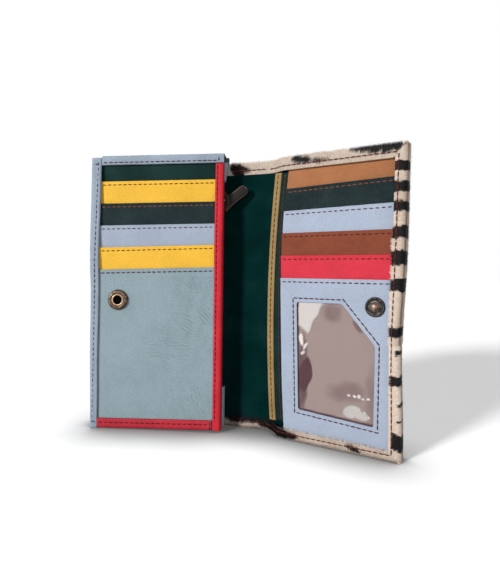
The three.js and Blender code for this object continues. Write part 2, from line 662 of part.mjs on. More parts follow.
function addDivider() {
  const edge = bowPoints(TRIM + SEAM_GAP, trimLow + SEAM_GAP, trimHigh - SEAM_GAP);
  const shape = outline([
    ...edge, [DIVIDER_SHOULDER, trimHigh - SEAM_GAP], [DIVIDER_SHOULDER, leafStack.top],
    [leafRight, leafStack.top], [leafRight, lapInset], [DIVIDER_SHOULDER, lapInset],
    [DIVIDER_SHOULDER, trimLow + SEAM_GAP],
  ]);
  piece(leaf, 'divider', sheet(shape, -dividerBack, DIVIDER), darkGreen);
  const trimOutline = outline([...bowPoints(0, trimLow, trimHigh),
    ...bowPoints(TRIM_WIDTH, trimLow, trimHigh).reverse()]);
  const slot = outline([...bowPoints(TRIM, trimLow - OVERCUT, trimHigh + OVERCUT),
    ...bowPoints(TRIM_WIDTH + OVERCUT, trimLow - OVERCUT, trimHigh + OVERCUT).reverse()]);
  piece(leaf, 'divider_trim', cut(
    sheet(trimOutline, -trimBack, 2 * (TRIM + SEAM_GAP) + DIVIDER),
    sheet(slot, -(dividerBack - SEAM_GAP), DIVIDER + 2 * SEAM_GAP)), tan);
}

// Outline of a leaf sheet: its left edge follows the bow
function leafOutline(top, bottom) {
  return outline([...bowPoints(TRIM_TO_POCKETS, bottom, top), [leafRight, top], [leafRight, bottom]]);
}

function leafTee(top) {
  const low = top - TONGUE_LENGTH;
  const left = BOW_EDGE + TRIM_TO_POCKETS + TONGUE_INSET;
  const right = leafRight - TONGUE_INSET;
  return outline([
    [bow(top, TRIM_TO_POCKETS), top], [bow(top - LEAF_PITCH, TRIM_TO_POCKETS), top - LEAF_PITCH],
    [left, top - LEAF_PITCH], [left, low], [right, low], [right, top - LEAF_PITCH],
    [leafRight, top - LEAF_PITCH], [leafRight, top],
  ]);
}

// The ID window's outline, with one corner cut for the stud; grow widens it all round
function windowPoints(grow) {
  const cutX = WINDOW_RIGHT - WINDOW_CHAMFER_X + grow / 2;
  const cutZ = WINDOW_TOP - WINDOW_CHAMFER_Z + grow / 2;
  return [
    [WINDOW_LEFT - grow, WINDOW_TOP + grow], [cutX, WINDOW_TOP + grow], [WINDOW_RIGHT + grow, cutZ],
    [WINDOW_RIGHT + grow, WINDOW_FOOT - grow], [WINDOW_LEFT_FOOT - grow, WINDOW_FOOT + WINDOW_FOOT_RISE - grow],
  ];
}

function addLeafPockets() {
  const height = leafStack.top - lapInset;
  const full = leafOutline(leafStack.top, lapInset);
  piece(leaf, 'leaf_pocket_backing',
    pocketSheet(leafStack, 0, full, 0, leafRight, leafStack.top, height, 0), orange);
  const colours = [['green', darkGreen], ['blue', paleBlue], ['brown', brown], ['red', red]];
  colours.forEach(([word, material], k) => {
    const top = slotHeight(leafStack, k + 1);
    const geometry = pocketSheet(leafStack, k + 1, leafTee(top), 0, leafRight, top, TONGUE_LENGTH, 0);
    piece(leaf, `leaf_pocket_${k + 1}_${word}`, geometry, material);
  });
  const top = slotHeight(leafStack, SLOTS);
  const shape = leafOutline(top, lapInset);
  shape.holes.push(new THREE.Path(windowPoints(0).map(([x, z]) => new THREE.Vector2(x, z))));
  shape.holes.push(new THREE.Path().absarc(SNAP_REACH, SNAP_HEIGHT, STUD_NECK + METAL_GAP, 0, 2 * Math.PI));
  piece(leaf, 'leaf_window_panel',
    pocketSheet(leafStack, 5, shape, 0, leafRight, top, top - lapInset, FULL_LEVEL), paleBlue);
}

function addWindow() {
  const panelBack = frontDepth(leafStack, FULL_LEVEL) - CARD_LEATHER;
  const filmFront = panelBack - METAL_GAP / 2;
  piece(leaf, 'window_film', sheet(outline(windowPoints(WINDOW_BORDER)), -(filmFront - WINDOW_FILM),
    WINDOW_FILM), film);
  const liningFace = filmFront - WINDOW_FILM - CARD_GAP;
  const lining = rectangle(WINDOW_LEFT - WINDOW_BORDER, WINDOW_RIGHT + WINDOW_BORDER, lapInset,
    WINDOW_TOP + WINDOW_BORDER / 2);
  piece(leaf, 'window_lining', sheet(lining, -(liningFace - WINDOW_LINING), WINDOW_LINING), taupe);
}

// Stud: its height lets the post reach into the socket when the wallet is shut
function addStud() {
  const seatDepth = frontDepth(leafStack, FULL_LEVEL);
  const seat = -seatDepth;
  const shut = SPINE_WIDTH - seatDepth - frontDepth(pouchStack, POUCH_POCKET_LEVEL);
  const height = shut - SOCKET_HEIGHT + STUD_ENGAGE;
  const bore = STUD_NECK + METAL_GAP;
  const rimInner = STUD_BASE_RADIUS - STUD_BASE_HEIGHT;
  const base = [
    [bore, METAL_GAP], [STUD_BASE_RADIUS, METAL_GAP], [STUD_BASE_RADIUS, STUD_BASE_HEIGHT * 0.6],
    [STUD_BASE_RADIUS - STUD_BASE_HEIGHT * 0.4, STUD_BASE_HEIGHT], [rimInner, STUD_BASE_HEIGHT],
    [rimInner - STUD_BASE_HEIGHT * 0.5, STUD_BASE_HEIGHT * 0.5], [bore, STUD_BASE_HEIGHT * 0.5],
  ];
  piece(leaf, 'stud_base', turned(base, SNAP_REACH, seat, SNAP_HEIGHT), gunmetal);
  const behind = -CARD_LEATHER - METAL_GAP;
  const shoulder = STUD_BASE_HEIGHT * 0.5 + METAL_GAP;
  const post = [
    [0, behind - RIVET_FLANGE], [STUD_RADIUS + STUD_FLANGE, behind - RIVET_FLANGE],
    [STUD_RADIUS + STUD_FLANGE, behind], [STUD_NECK, behind], [STUD_NECK, shoulder],
    [STUD_RADIUS + STUD_COLLAR, shoulder], [bore, height * 0.6], [STUD_RADIUS, height - STUD_BULB],
    [STUD_RADIUS - STUD_CROWN_INSET, height - STUD_CROWN], [0, height],
  ];
  const points = post.map(([radius, up]) => new THREE.Vector2(radius, up));
  const geometry = new THREE.LatheGeometry(points, LATHE_SIDES);
  geometry.rotateX(Math.PI);
  geometry.translate(SNAP_REACH, seat, SNAP_HEIGHT);
  piece(leaf, 'stud_post', geometry, brass);
}

addLeafCover();
addDivider();
addLeafPockets();
addWindow();
addStud();

// Origin at the middle of the footprint
const wallet = new THREE.Group();
wallet.add(leftHalf, spine);
wallet.updateMatrixWorld(true);
const box = new THREE.Box3().setFromObject(wallet, true);
const middle = box.getCenter(new THREE.Vector3());
wallet.position.set(-middle.x, -middle.y, -box.min.z);

export default wallet;
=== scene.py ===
import json
import math
from collections import namedtuple

import bmesh
import bpy
import numpy as np
from mathutils import Matrix, Vector


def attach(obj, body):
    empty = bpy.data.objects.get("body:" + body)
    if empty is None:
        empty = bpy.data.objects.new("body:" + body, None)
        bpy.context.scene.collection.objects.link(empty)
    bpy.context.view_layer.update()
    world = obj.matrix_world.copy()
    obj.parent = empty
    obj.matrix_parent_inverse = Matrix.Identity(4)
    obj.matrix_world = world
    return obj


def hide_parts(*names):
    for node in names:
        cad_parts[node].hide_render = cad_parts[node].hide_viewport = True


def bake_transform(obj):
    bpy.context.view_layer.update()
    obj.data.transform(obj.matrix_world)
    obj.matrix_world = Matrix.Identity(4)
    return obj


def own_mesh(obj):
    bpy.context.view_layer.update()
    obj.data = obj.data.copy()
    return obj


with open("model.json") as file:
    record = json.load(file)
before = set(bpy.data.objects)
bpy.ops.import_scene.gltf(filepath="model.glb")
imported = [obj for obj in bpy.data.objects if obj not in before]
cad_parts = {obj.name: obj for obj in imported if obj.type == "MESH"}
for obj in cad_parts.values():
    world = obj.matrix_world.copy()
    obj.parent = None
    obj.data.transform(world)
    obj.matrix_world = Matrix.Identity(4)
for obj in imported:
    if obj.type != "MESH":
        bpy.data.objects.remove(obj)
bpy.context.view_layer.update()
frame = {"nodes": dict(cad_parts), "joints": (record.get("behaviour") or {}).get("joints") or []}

MM = 0.001

# Sizes shared with the solids, in millimetres
COVER_HEIGHT = 197.0
POUCH_HEIGHT = 200.0
POUCH_WIDTH = 98.7
SPINE_WIDTH = 26.0
LEAF_WIDTH = 100.0
FOLD_OFFSET = 4.0
SPINE_ANGLE = math.radians(13.2)
LEAF_ANGLE = math.radians(11.9)
HIDE_BACK = 3.1
HEM = 8.8
CARD = 0.7
LEATHER = 1.0
STEP = 0.9
FULL_LEVEL = 3.8
SNAP_REACH = 81.7
SNAP_HEIGHT = 95.3
RIGHT_BAND = 6.8
TOP_BAND = 7.0
BOTTOM_BAND = 7.6
BINDING = 0.9

# Sizes of the looks alone
FOLD_BEND = 9.0
CURVE_STEP = 0.25
SLOT_SEAM = 2.6
FOOT = 1.0
LEAF_FOOT = 1.8
PANEL_LEFT = -POUCH_WIDTH + BINDING + 0.1
PANEL_RIGHT = -BINDING - 0.1
LEAF_RIGHT = LEAF_WIDTH - 1.7
BAND_LEFT_TOP = 8.0
BAND_LEFT_FOOT = 5.8
TRIM_LOW = 9.8
TRIM_HIGH = 187.2
LEAF_START = FOLD_OFFSET + SPINE_WIDTH
SPINE_MIDDLE = FOLD_OFFSET + SPINE_WIDTH / 2
HIDE_LEFT = -POUCH_WIDTH + 0.5
HIDE_RIGHT = LEAF_START + LEAF_WIDTH
SOCKET_PLACE = FOLD_OFFSET - SNAP_REACH

# A half's stack of pockets: depth of its panel, pitch and first height of the slots,
# height of the panel, level of the large pocket and where the seeds of its waves start
Stack = namedtuple("Stack", "name body base pitch first top pocket_level seed")
POUCH = Stack("pouch", "left_half", 11.6, 16.0, 181.5, POUCH_HEIGHT - BINDING - 0.2, 3.0, 10)
LEAF = Stack("leaf", "right_leaf", 2.0, 15.7, 175.4, COVER_HEIGHT - 1.7, FULL_LEVEL, 30)
LARGE = 5


# The two folds' axes in the row frame, in millimetres
def fold_place(name):
    joint = next(joint for joint in frame["joints"] if joint["name"] == name)
    return np.array(joint["pos_m"][:2]) / MM


LEAF_FOLD = fold_place("cover_fold")
POUCH_EDGE = fold_place("spine_fold") - np.array([FOLD_OFFSET, 0.0])


def place(origin, angle, u, depth, z):
    """Local (u along the panel, depth towards the viewer, z) to row coordinates in millimetres."""
    u, depth, z = np.broadcast_arrays(np.asarray(u, float), np.asarray(depth, float), np.asarray(z, float))
    x = origin[0] + u * math.cos(angle) - depth * math.sin(angle)
    y = origin[1] - u * math.sin(angle) - depth * math.cos(angle)
    return np.stack([x, y, z], -1)


def smooth_step(value, low, high):
    t = np.clip((value - low) / (high - low), 0, 1)
    return t * t * (3 - 2 * t)


def bump_line(distance, width):
    return np.exp(-(distance / width) ** 2)


def wave(u, z, size, seed):
    """Smooth waviness from a few sines, the same on every run."""
    local = np.random.default_rng(seed)
    total = np.zeros(np.broadcast(u, z).shape)
    for _ in range(5):
        angle, phase = local.uniform(0, 2 * math.pi, 2)
        length = size * local.uniform(0.7, 1.6)
        total += np.sin((u * math.cos(angle) + z * math.sin(angle)) * 2 * math.pi / length + phase)
    return total / 5


def as_function(value):
    """The value itself if it's a function, else a function that gives it everywhere."""
    return value if callable(value) else (lambda at: value + 0 * at)


def on_pouch(u, depth, z):
    """The sewn pouch isn't quite square: its seams rise towards the zip, and its zipped edge is drawn in."""
    u, z = np.asarray(u, float), np.asarray(z, float)
    share = np.clip(u / POUCH_WIDTH + 1, 0, 1)
    lift = 1.5 * share - 0.9 * (1 - share) * np.sin(math.pi * np.clip(z / POUCH_HEIGHT, 0, 1))
    lift = lift + 1.1 * share * bump_line(z - 126, 16)
    return place(POUCH_EDGE, 0.0, u - 0.8 * smooth_step(u, -20.0, 0.0), depth, z + lift)


def edge_draw(u, z):
    """How far the leaf's free edge is drawn in, most of all below its middle."""
    return (0.8 + 2.3 * bump_line(z - 72, 42)) * smooth_step(u, LEAF_WIDTH - 14.0, LEAF_WIDTH)


def on_leaf(u, depth, z):
    u, z = np.asarray(u, float), np.asarray(z, float)
    return place(LEAF_FOLD, SPINE_ANGLE + LEAF_ANGLE, u - edge_draw(u, z), depth, z)


def on_pockets(u, depth, z):
    """The leaf's card pockets, whose upper slots rise towards its free edge."""
    u, z = np.asarray(u, float), np.asarray(z, float)
    lift = (2.7 * u / LEAF_WIDTH - 0.7) * bump_line(z - 172, 17) * (z < 190)
    return on_leaf(u, depth, z + lift)


def cover_course():
    """Stations along the cover, bending softly at both folds, with their x, y and heading."""
    stations = np.arange(-110.0, 140.0, CURVE_STEP)
    first, second = (np.clip((stations - at) / FOLD_BEND + 0.5, 0, 1) for at in (FOLD_OFFSET, LEAF_START))
    angle = SPINE_ANGLE * first + LEAF_ANGLE * second
    x, y = np.cumsum(np.cos(angle) * CURVE_STEP), np.cumsum(-np.sin(angle) * CURVE_STEP)
    start = np.argmin(np.abs(stations + 20.0))
    return stations, x - x[start] + POUCH_EDGE[0] - 20.0, y - y[start] + POUCH_EDGE[1], angle


COVER_COURSE = cover_course()


def on_cover(s, depth, z):
    """Along the whole cover. s is 0 at the pouch's right edge."""
    s, depth, z = np.broadcast_arrays(np.asarray(s, float), np.asarray(depth, float), np.asarray(z, float))
    s = s - edge_draw(s - FOLD_OFFSET - SPINE_WIDTH, z)
    x, y, angle = (np.interp(s, COVER_COURSE[0], course) for course in COVER_COURSE[1:])
    lift = 1.3 * bump_line(s - 31, 16) * (1 - smooth_step(z, 0.0, 16.0))
    return np.stack([x - np.sin(angle) * depth, y - np.cos(angle) * depth, z + lift], -1)


# Meshes. A look is a slot's name, or None, and a material
def make_object(name, points, faces, body, look, replaces=()):
    slot, material = look
    mesh = bpy.data.meshes.new(name)
    mesh.from_pydata((np.asarray(points) * MM).tolist(), [], [list(map(int, face)) for face in faces])
    mesh.validate()
    work = bmesh.new()
    work.from_mesh(mesh)
    bmesh.ops.remove_doubles(work, verts=work.verts, dist=1e-7)
    bmesh.ops.recalc_face_normals(work, faces=work.faces)
    work.to_mesh(mesh)
    work.free()
    return finish_object(name, mesh, body, material, replaces)


def finish_object(name, mesh, body, material, replaces):
    mesh.polygons.foreach_set("use_smooth", [True] * len(mesh.polygons))
    mesh.materials.append(material)
    made = bpy.data.objects.new(name, mesh)
    bpy.context.scene.collection.objects.link(made)
    if body:
        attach(made, body)
    if replaces:
        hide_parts(*replaces)
    return made


def piece_points(made):
    return np.array([vertex.co for vertex in made.data.vertices]) / MM


def paint(made, name, values):
    layer = made.data.attributes.new(name, "FLOAT", "POINT")
    layer.data.foreach_set("value", np.asarray(values, np.float32))


def match_points(points, source):
    """Index in source of each point, after doubles were removed."""
    keys = {tuple(np.round(p, 4)): k for k, p in reversed(list(enumerate(source)))}
    found = np.zeros(len(points), int)
    for k, p in enumerate(points):
        key = tuple(np.round(p, 4))
        found[k] = keys[key] if key in keys else int(np.argmin(np.sum((source - p) ** 2, axis=1)))
    return found


def grid_faces(rows, columns, offset=0, flip=False):
    faces = []
    for i in range(rows - 1):
        for j in range(columns - 1):
            a = offset + i * columns + j
            quad = (a, a + 1, a + columns + 1, a + columns)
            faces.append(quad[::-1] if flip else quad)
    return faces


def closed_slab(front, back):
    """Points and faces of a closed sheet from two grids of points of one shape."""
    rows, columns = front.shape[:2]
    points = np.concatenate([front.reshape(-1, 3), back.reshape(-1, 3)])
    count = rows * columns
    faces = grid_faces(rows, columns) + grid_faces(rows, columns, count, True)
    edge = ([(0, j) for j in range(columns)] + [(i, columns - 1) for i in range(1, rows)]
            + [(rows - 1, j) for j in range(columns - 2, -1, -1)] + [(i, 0) for i in range(rows - 2, 0, -1)])
    ring = [i * columns + j for i, j in edge]
    for k, a in enumerate(ring):
        b = ring[(k + 1) % len(ring)]
        faces.append((b, a, a + count, b + count))
    return points, faces


def graded(length, step, radius):
    """Stations from 0 to length, close together near both ends."""
    near = radius * (1 - np.cos(np.linspace(0, math.pi / 2, 4)))
    near = np.append(near, radius * 2.2)
    count = max(2, int((length - 2 * near[-1]) / step) + 1)
    middle = np.linspace(near[-1], length - near[-1], count)
    return np.concatenate([near[:-1], middle, length - near[:-1][::-1]])


def edge_drop(distance, radius):
    d = np.clip(radius - distance, 0, radius)
    return radius - np.sqrt(np.maximum(radius * radius - d * d, 0))


def slab(name, body, look, to_row, sides, ends, front, thickness, step=1.2, replaces=()):
    """A leather sheet. Its sides may be functions of z; front gives its face's depth at (u, z)."""
    left, right = (as_function(side) for side in sides)
    z0, z1 = ends
    radius = thickness * 0.5
    zs = z0 + graded(z1 - z0, step, radius)
    width = float(np.mean(right(zs) - left(zs)))
    zz, ss = np.meshgrid(zs, graded(width, step, radius) / width, indexing="ij")
    lo, hi = left(zz), right(zz)
    uu = lo + (hi - lo) * ss
    distance = np.minimum(np.minimum(zz - z0, z1 - zz), np.minimum(uu - lo, hi - uu))
    drop = edge_drop(distance, radius)
    face = front(uu, zz)
    points, faces = closed_slab(to_row(uu, face - drop, zz), to_row(uu, face - thickness + drop, zz))
    return make_object(name, points, faces, body, look, replaces)


def folded(back, front, radius, shrink, wide_back, wide_front, back_points):
    """Distances from the edge and depths of a strip folded round it, drawn in by shrink."""
    back, front, r = back + shrink, front - shrink, max(radius - shrink, 0.25)
    arc = np.linspace(0, math.pi / 2, 6)[1:]
    a = np.concatenate([np.linspace(wide_back, r + shrink, back_points), shrink + r - r * np.sin(arc),
                        shrink + r - r * np.cos(arc),
                        np.linspace(r + shrink, max(wide_front, r + shrink + 0.2), 9)[1:]])
    d = np.concatenate([np.full(back_points, back), back + r - r * np.cos(arc), front - r + r * np.sin(arc),
                        np.full(8, front)])
    return a, d


def binding(name, body, look, to_row, at, ends, back, front, wide_back, wide_front,
            thickness=BINDING, radius=1.4, replaces=(), puff=0.28, seam=None):
    """A strip folded round an edge. at(a, t) gives (u, z) for the distance a from the edge at station t."""
    front, wide_front = as_function(front), as_function(wide_front)
    t0, t1 = ends
    outer, inner = [], []
    for t in t0 + graded(t1 - t0, 1.5, thickness * 0.5):
        end = edge_drop(min(t - t0, t1 - t), thickness * 0.5)
        wide = wide_front(t)
        for shrink, store, sign in ((0.0, outer, -1), (thickness, inner, 1)):
            a, d = folded(back, front(t), radius, shrink, wide_back, wide, 4)
            upper = d > (back + front(t)) / 2
            lift = puff * np.sin(np.clip(a / wide, 0, 1) * math.pi)
            lift = lift + 0.12 * wave(a, np.full_like(a, t), 14.0, 5)
            if seam is not None:
                lift = lift - 0.22 * bump_line(a - seam, 0.55)
            soft = upper * np.clip(a - radius * 0.4, 0, 1)
            rim = edge_drop(wide - a, thickness * 0.5) * upper
            d = d + lift * soft + sign * (end + rim) * np.where(upper, 1, -1)
            u, z = at(a, np.full_like(a, t))
            store.append(to_row(u, d, z))
    points, faces = closed_slab(np.array(outer), np.array(inner))
    return make_object(name, points, faces, body, look, replaces)


# Materials
def feed(tree, node, inputs):
    """Sets a node's inputs by name or number: a socket is linked, anything else is a value."""
    for key, value in inputs.items():
        if isinstance(value, bpy.types.NodeSocket):
            tree.links.new(value, node.inputs[key])
        else:
            node.inputs[key].default_value = value


def add_node(tree, kind, output, inputs, **settings):
    """Adds a node and gives its output, a name or a number."""
    node = tree.nodes.new("ShaderNode" + kind)
    for name, value in settings.items():
        setattr(node, name, value)
    feed(tree, node, inputs)
    return node.outputs[output]


def new_material(name, color, roughness, metallic=0.0, shine=0.5):
    material = bpy.data.materials.new(name)
    material.use_nodes = True
    tree = material.node_tree
    shader = tree.nodes["Principled BSDF"]
    feed(tree, shader, {"Base Color": (*color, 1.0), "Roughness": roughness, "Metallic": metallic,
                        "Specular IOR Level": shine})
    return material, tree, shader


def srgb(r, g, b):
    return tuple((c / 255 / 12.92) if c <= 10 else ((c / 255 + 0.055) / 1.055) ** 2.4 for c in (r, g, b))


# Share of white light that a white front face gives back on this stage
FRONT_LIGHT = 1.79


def tint(r, g, b):
    """Surface colour that looks like this sRGB colour on a front face."""
    return tuple(c / FRONT_LIGHT for c in srgb(r, g, b))


def object_place(tree):
    return add_node(tree, "TexCoord", "Object", {})


def noise(tree, coordinates, scale, detail=4.0, roughness=0.55, distortion=0.0, output="Fac"):
    return add_node(tree, "TexNoise", output, {"Vector": coordinates, "Scale": scale, "Detail": detail,
                                               "Roughness": roughness, "Distortion": distortion})


def ramp(tree, value, stops):
    node = tree.nodes.new("ShaderNodeValToRGB")
    elements = node.color_ramp.elements
    while len(elements) < len(stops):
        elements.new(0.5)
    for element, (position, color) in zip(elements, stops):
        element.position = position
        element.color = (*color, 1.0)
    feed(tree, node, {"Fac": value})
    return node.outputs["Color"]


def calculate(tree, operation, *values):
    return add_node(tree, "Math", 0, dict(enumerate(values)), operation=operation)


def bump(tree, height, strength, distance, **under):
    return add_node(tree, "Bump", "Normal", {"Strength": strength, "Distance": distance, "Height": height,
                                             **under})


def painted(tree, name):
    return add_node(tree, "Attribute", "Fac", {}, attribute_name=name)


def grey(*levels):
    return [(position, (level,) * 3) for position, level in levels]


def leather(name, color, grain=1100.0, grain_depth=0.5, crease=0.25, mottle=0.12, roughness=0.55, shine=0.12,
            painted_crease_shade=False):
    """Grained leather: cells for the grain, stretched noise for creases, slow noise for colour."""
    material, tree, shader = new_material(name, color, roughness, shine=shine)
    coordinates = object_place(tree)
    slow = noise(tree, coordinates, 45.0, 5.0, 0.6)
    dark = tuple(max(0.0, c * (1 - 1.6 * mottle)) for c in color)
    light = tuple(min(1.0, c * (1 + mottle) + 0.01 * mottle) for c in color)
    colour = ramp(tree, slow, [(0.30, dark), (0.52, color), (0.75, light)])
    warp = noise(tree, coordinates, grain * 0.35, 2.0, output="Color")
    warped = add_node(tree, "VectorMath", 0, {0: warp, 1: (0.0012,) * 3, 2: coordinates},
                      operation="MULTIPLY_ADD")
    cells = add_node(tree, "TexVoronoi", "Distance", {"Scale": grain, "Vector": warped},
                     feature="DISTANCE_TO_EDGE")
    pits = ramp(tree, cells, grey((0.0, 0.0), (0.16, 0.8), (0.5, 1.0)))
    fold = noise(tree, coordinates, 160.0, 6.0, 0.62, 1.4)
    grooves = ramp(tree, fold, grey((0.44, 1.0), (0.5, 0.55), (0.56, 1.0)))
    soft = bump(tree, grooves, crease, 0.0007)
    shade = add_node(tree, "MixRGB", "Color", {"Fac": 0.22, "Color1": colour, "Color2": pits},
                     blend_type="MULTIPLY")
    # Painted shade: the base colour darkens in the creases, by the painted 'crease' attribute
    if painted_crease_shade:
        crease_shade_colour = (*(c * 0.6 for c in color), 1.0)
        shade = add_node(tree, "MixRGB", "Color",
                         {"Fac": painted(tree, "crease"), "Color1": shade, "Color2": crease_shade_colour})
    rough = add_node(tree, "MapRange", "Result", {"To Min": roughness + 0.12, "To Max": roughness - 0.08,
                                                  "Value": slow})
    feed(tree, shader, {"Normal": bump(tree, pits, grain_depth, 0.00022, Normal=soft), "Base Color": shade,
                        "Roughness": rough})
    return material


def metal(name, color, roughness, wear):
    material, tree, shader = new_material(name, color, roughness, 1.0)
    coordinates = object_place(tree)
    patches = noise(tree, coordinates, 700.0, 5.0, 0.65)
    colour = ramp(tree, patches, [(0.36, tuple(c * 0.35 for c in color)), (0.52, color), (0.72, wear)])
    fine = noise(tree, coordinates, 4000.0, 3.0)
    feed(tree, shader, {"Base Color": colour, "Normal": bump(tree, fine, 0.25, 0.00008)})
    return material


def thread(name, color):
    material, tree, shader = new_material(name, color, 0.65, shine=0.1)
    fibre = noise(tree, object_place(tree), 3000.0, 2.0)
    colour = ramp(tree, fibre, [(0.3, tuple(c * 0.6 for c in color)), (0.7, color)])
    feed(tree, shader, {"Base Color": colour, "Normal": bump(tree, fibre, 0.5, 0.0001)})
    return material


def hide_material():
    material, tree, shader = new_material("hair_on_hide", (0.7, 0.6, 0.5), 0.6, shine=0.12)
    coordinates = object_place(tree)
    slow = noise(tree, coordinates, 60.0, 4.0)
    mottled = calculate(tree, "ADD", calculate(tree, "MULTIPLY", painted(tree, "hair"), 0.55),
                        calculate(tree, "MULTIPLY", slow, 0.5))
    cream = ramp(tree, mottled, [(0.1, tint(184, 154, 132)), (0.4, tint(226, 206, 188)),
                                 (0.8, tint(250, 236, 222))])
    black = ramp(tree, mottled, [(0.2, tint(8, 6, 8)), (0.9, tint(34, 28, 30))])
    sharp = ramp(tree, painted(tree, "darkness"), grey((0.35, 0.0), (0.65, 1.0)))
    strands = noise(tree, coordinates, 2600.0, 3.0)
    colour = add_node(tree, "MixRGB", "Color", {"Fac": sharp, "Color1": cream, "Color2": black})
    feed(tree, shader, {"Base Color": colour, "Normal": bump(tree, strands, 0.25, 0.0001)})
    return material


def tape_material():
    material, tree, shader = new_material("zip_tape", srgb(28, 42, 40), 0.8)
    weave = add_node(tree, "TexWave", "Fac", {"Scale": 900.0, "Vector": object_place(tree)})
    feed(tree, shader, {"Base Color": ramp(tree, weave, [(0.2, srgb(20, 32, 30)), (0.8, srgb(44, 62, 58))]),
                        "Normal": bump(tree, weave, 0.6, 0.0002)})
    return material


def thong_material():
    """Waxed leather, paler on its raw edges."""
    material, tree, shader = new_material("thong_leather", tint(20, 12, 11), 0.55, shine=0.15)
    colour = ramp(tree, painted(tree, "edge"), [(0.25, tint(20, 12, 11)), (0.7, tint(122, 84, 70))])
    feed(tree, shader, {"Base Color": colour})
    return material


def film_material():
    """Clear film, seen only where a painted reflection of something bright sets its alpha."""
    material, tree, shader = new_material("clear_film", tint(226, 218, 214), 0.2, shine=0.1)
    feed(tree, shader, {"Alpha": calculate(tree, "MULTIPLY", painted(tree, "glare"), 0.8)})
    return material


def window_lining_material():
    material, tree, shader = new_material("taupe_lining", tint(160, 140, 140), 0.7, shine=0.1)
    slow = noise(tree, object_place(tree), 60.0, 4.0)
    # Painted shade: the 'dark' attribute darkens the lining, for painted dark reflections and the shadow
    # along the window's edges
    shade = calculate(tree, "MULTIPLY_ADD", slow, -0.3, painted(tree, "dark"))
    stops = [(0.0, tint(154, 136, 132)), (0.35, tint(126, 105, 104)), (0.85, tint(84, 58, 63))]
    feed(tree, shader, {"Base Color": ramp(tree, shade, stops)})
    return material


# Leathers: slot, sRGB colour on a front face and what differs from plain leather
LEATHERS = {
    "pale_blue": ("pale_blue", (176, 188, 208), dict(roughness=0.52, crease=0.18, grain_depth=0.4,
                                                     mottle=0.04)),
    "strip_blue": ("pale_blue", (166, 181, 198), dict(mottle=0.08)),
    "grey_blue": ("grey_blue", (157, 178, 186), dict(roughness=0.5, crease=0.3, mottle=0.05, painted_crease_shade=True)),
    "yellow": ("yellow", (266, 207, 66), dict(roughness=0.5, crease=0.2, mottle=0.05)),
    "dark_green": ("dark_green", (18, 51, 49), dict(roughness=0.6, crease=0.3, mottle=0.2, shine=0.05)),
    "grained_green": ("dark_green", (27, 46, 48), dict(roughness=0.5, crease=0.35, grain=800.0,
                                                       grain_depth=0.9, mottle=0.25, shine=0.08)),
    "orange": ("orange", (177, 115, 72), {}),
    "brown": ("brown", (138, 68, 42), dict(mottle=0.15)),
    "red": ("red", (224, 50, 70), dict(roughness=0.5, crease=0.2, mottle=0.08)),
    "binding_red": ("red", (226, 44, 60), dict(roughness=0.5, crease=0.3)),
    "foot_red": ("red", (212, 52, 68), dict(crease=0.4, mottle=0.15)),
    "tan": ("tan", (166, 138, 88), dict(roughness=0.5)),
}
# Metals: slot, colour, roughness and the colour where they're worn
METALS = {
    "dark_bronze": ("dark_bronze", (88, 72, 62), 0.5, (128, 108, 92)),
    "worn_bronze": ("brass", (150, 128, 104), 0.45, (196, 176, 148)),
    "antique_brass": ("brass", (150, 126, 92), 0.38, (196, 172, 132)),
    "gunmetal": ("gunmetal", (44, 42, 41), 0.42, (92, 90, 86)),
    "stud_tip": ("brass", (128, 102, 88), 0.6, (176, 150, 132)),
}
THREADS = {"dark_thread": (84, 32, 22), "pale_thread": (146, 84, 62), "rust_thread": (112, 44, 32)}

looks = {name: (f"{slot}_leather", leather(f"{name}_leather", tint(*color), **kind))
         for name, (slot, color, kind) in LEATHERS.items()}
looks["lining_green"] = ("lining", leather("lining_green_leather", tint(0, 40, 39), roughness=0.6,
                                           crease=0.15, grain_depth=0.25, mottle=0.25, shine=0.01))
for name, (slot, color, roughness, wear) in METALS.items():
    looks[name] = (slot, metal(name, srgb(*color), roughness, srgb(*wear)))
for name, color in THREADS.items():
    looks[name] = (None, thread(name, tint(*color)))
# Painted shade: a near-black material for the shade in the socket's hole
looks["hole_shade"] = ("dark_bronze", new_material("hollow_dark", tint(12, 9, 9), 0.9, shine=0.0)[0])
looks["hide"] = ("hide", hide_material())
looks["tape"] = ("zip_tape", tape_material())
looks["thong"] = ("thong_leather", thong_material())
looks["film"] = ("clear_film", film_material())
looks["window_lining"] = ("taupe_lining", window_lining_material())


# Stack levels, as in the solids
def slot_top(stack, index):
    return stack.first - (index - 1) * stack.pitch


def sheet_front(stack, index):
    """Face of the pocket with this index, or of the panel behind them all, which has 0."""
    top = slot_top(stack, index) if index else stack.top
    floor = stack.pocket_level if index == LARGE else 0

    def front(u, z):
        level = np.maximum(floor, np.minimum(index, FULL_LEVEL - (top - z) / stack.pitch))
        return stack.base + CARD + level * STEP
    return front


def large_front(stack):
    return stack.base + CARD + stack.pocket_level * STEP


def wrap_front(stack, extra):
    """Face of what lies over the stack's edge, as a function of z."""
    fourth, fifth = slot_top(stack, 4), slot_top(stack, 5)
    dip = fifth - (FULL_LEVEL - stack.pocket_level) * stack.pitch - 1
    heights = [0, dip, fifth, fourth, stack.top]
    levels = [stack.pocket_level + 0.25, stack.pocket_level + 0.25, FULL_LEVEL + 0.25, FULL_LEVEL + 0.25, 0.5]
    return lambda z: np.interp(z, heights, levels) * STEP + stack.base + CARD + extra


pouch_wrap = wrap_front(POUCH, BINDING + 0.1)
leaf_wrap = wrap_front(LEAF, 1.4)


def slot_face(stack, index):
    """A pocket's face with a slack rim, a pressed seam line under its edge and slow waves."""
    front, top = sheet_front(stack, index), slot_top(stack, index)
    seed, height = (stack.seed + 11, 0.1) if index == LARGE else (stack.seed + index, 0.07)

    def face(u, z):
        below = top - z
        return (front(u, z) + height * wave(u, z, 38.0, seed) - 0.16 * bump_line(below - SLOT_SEAM, 0.5)
                + 0.132 * np.exp(-below / 1.2))
    return face


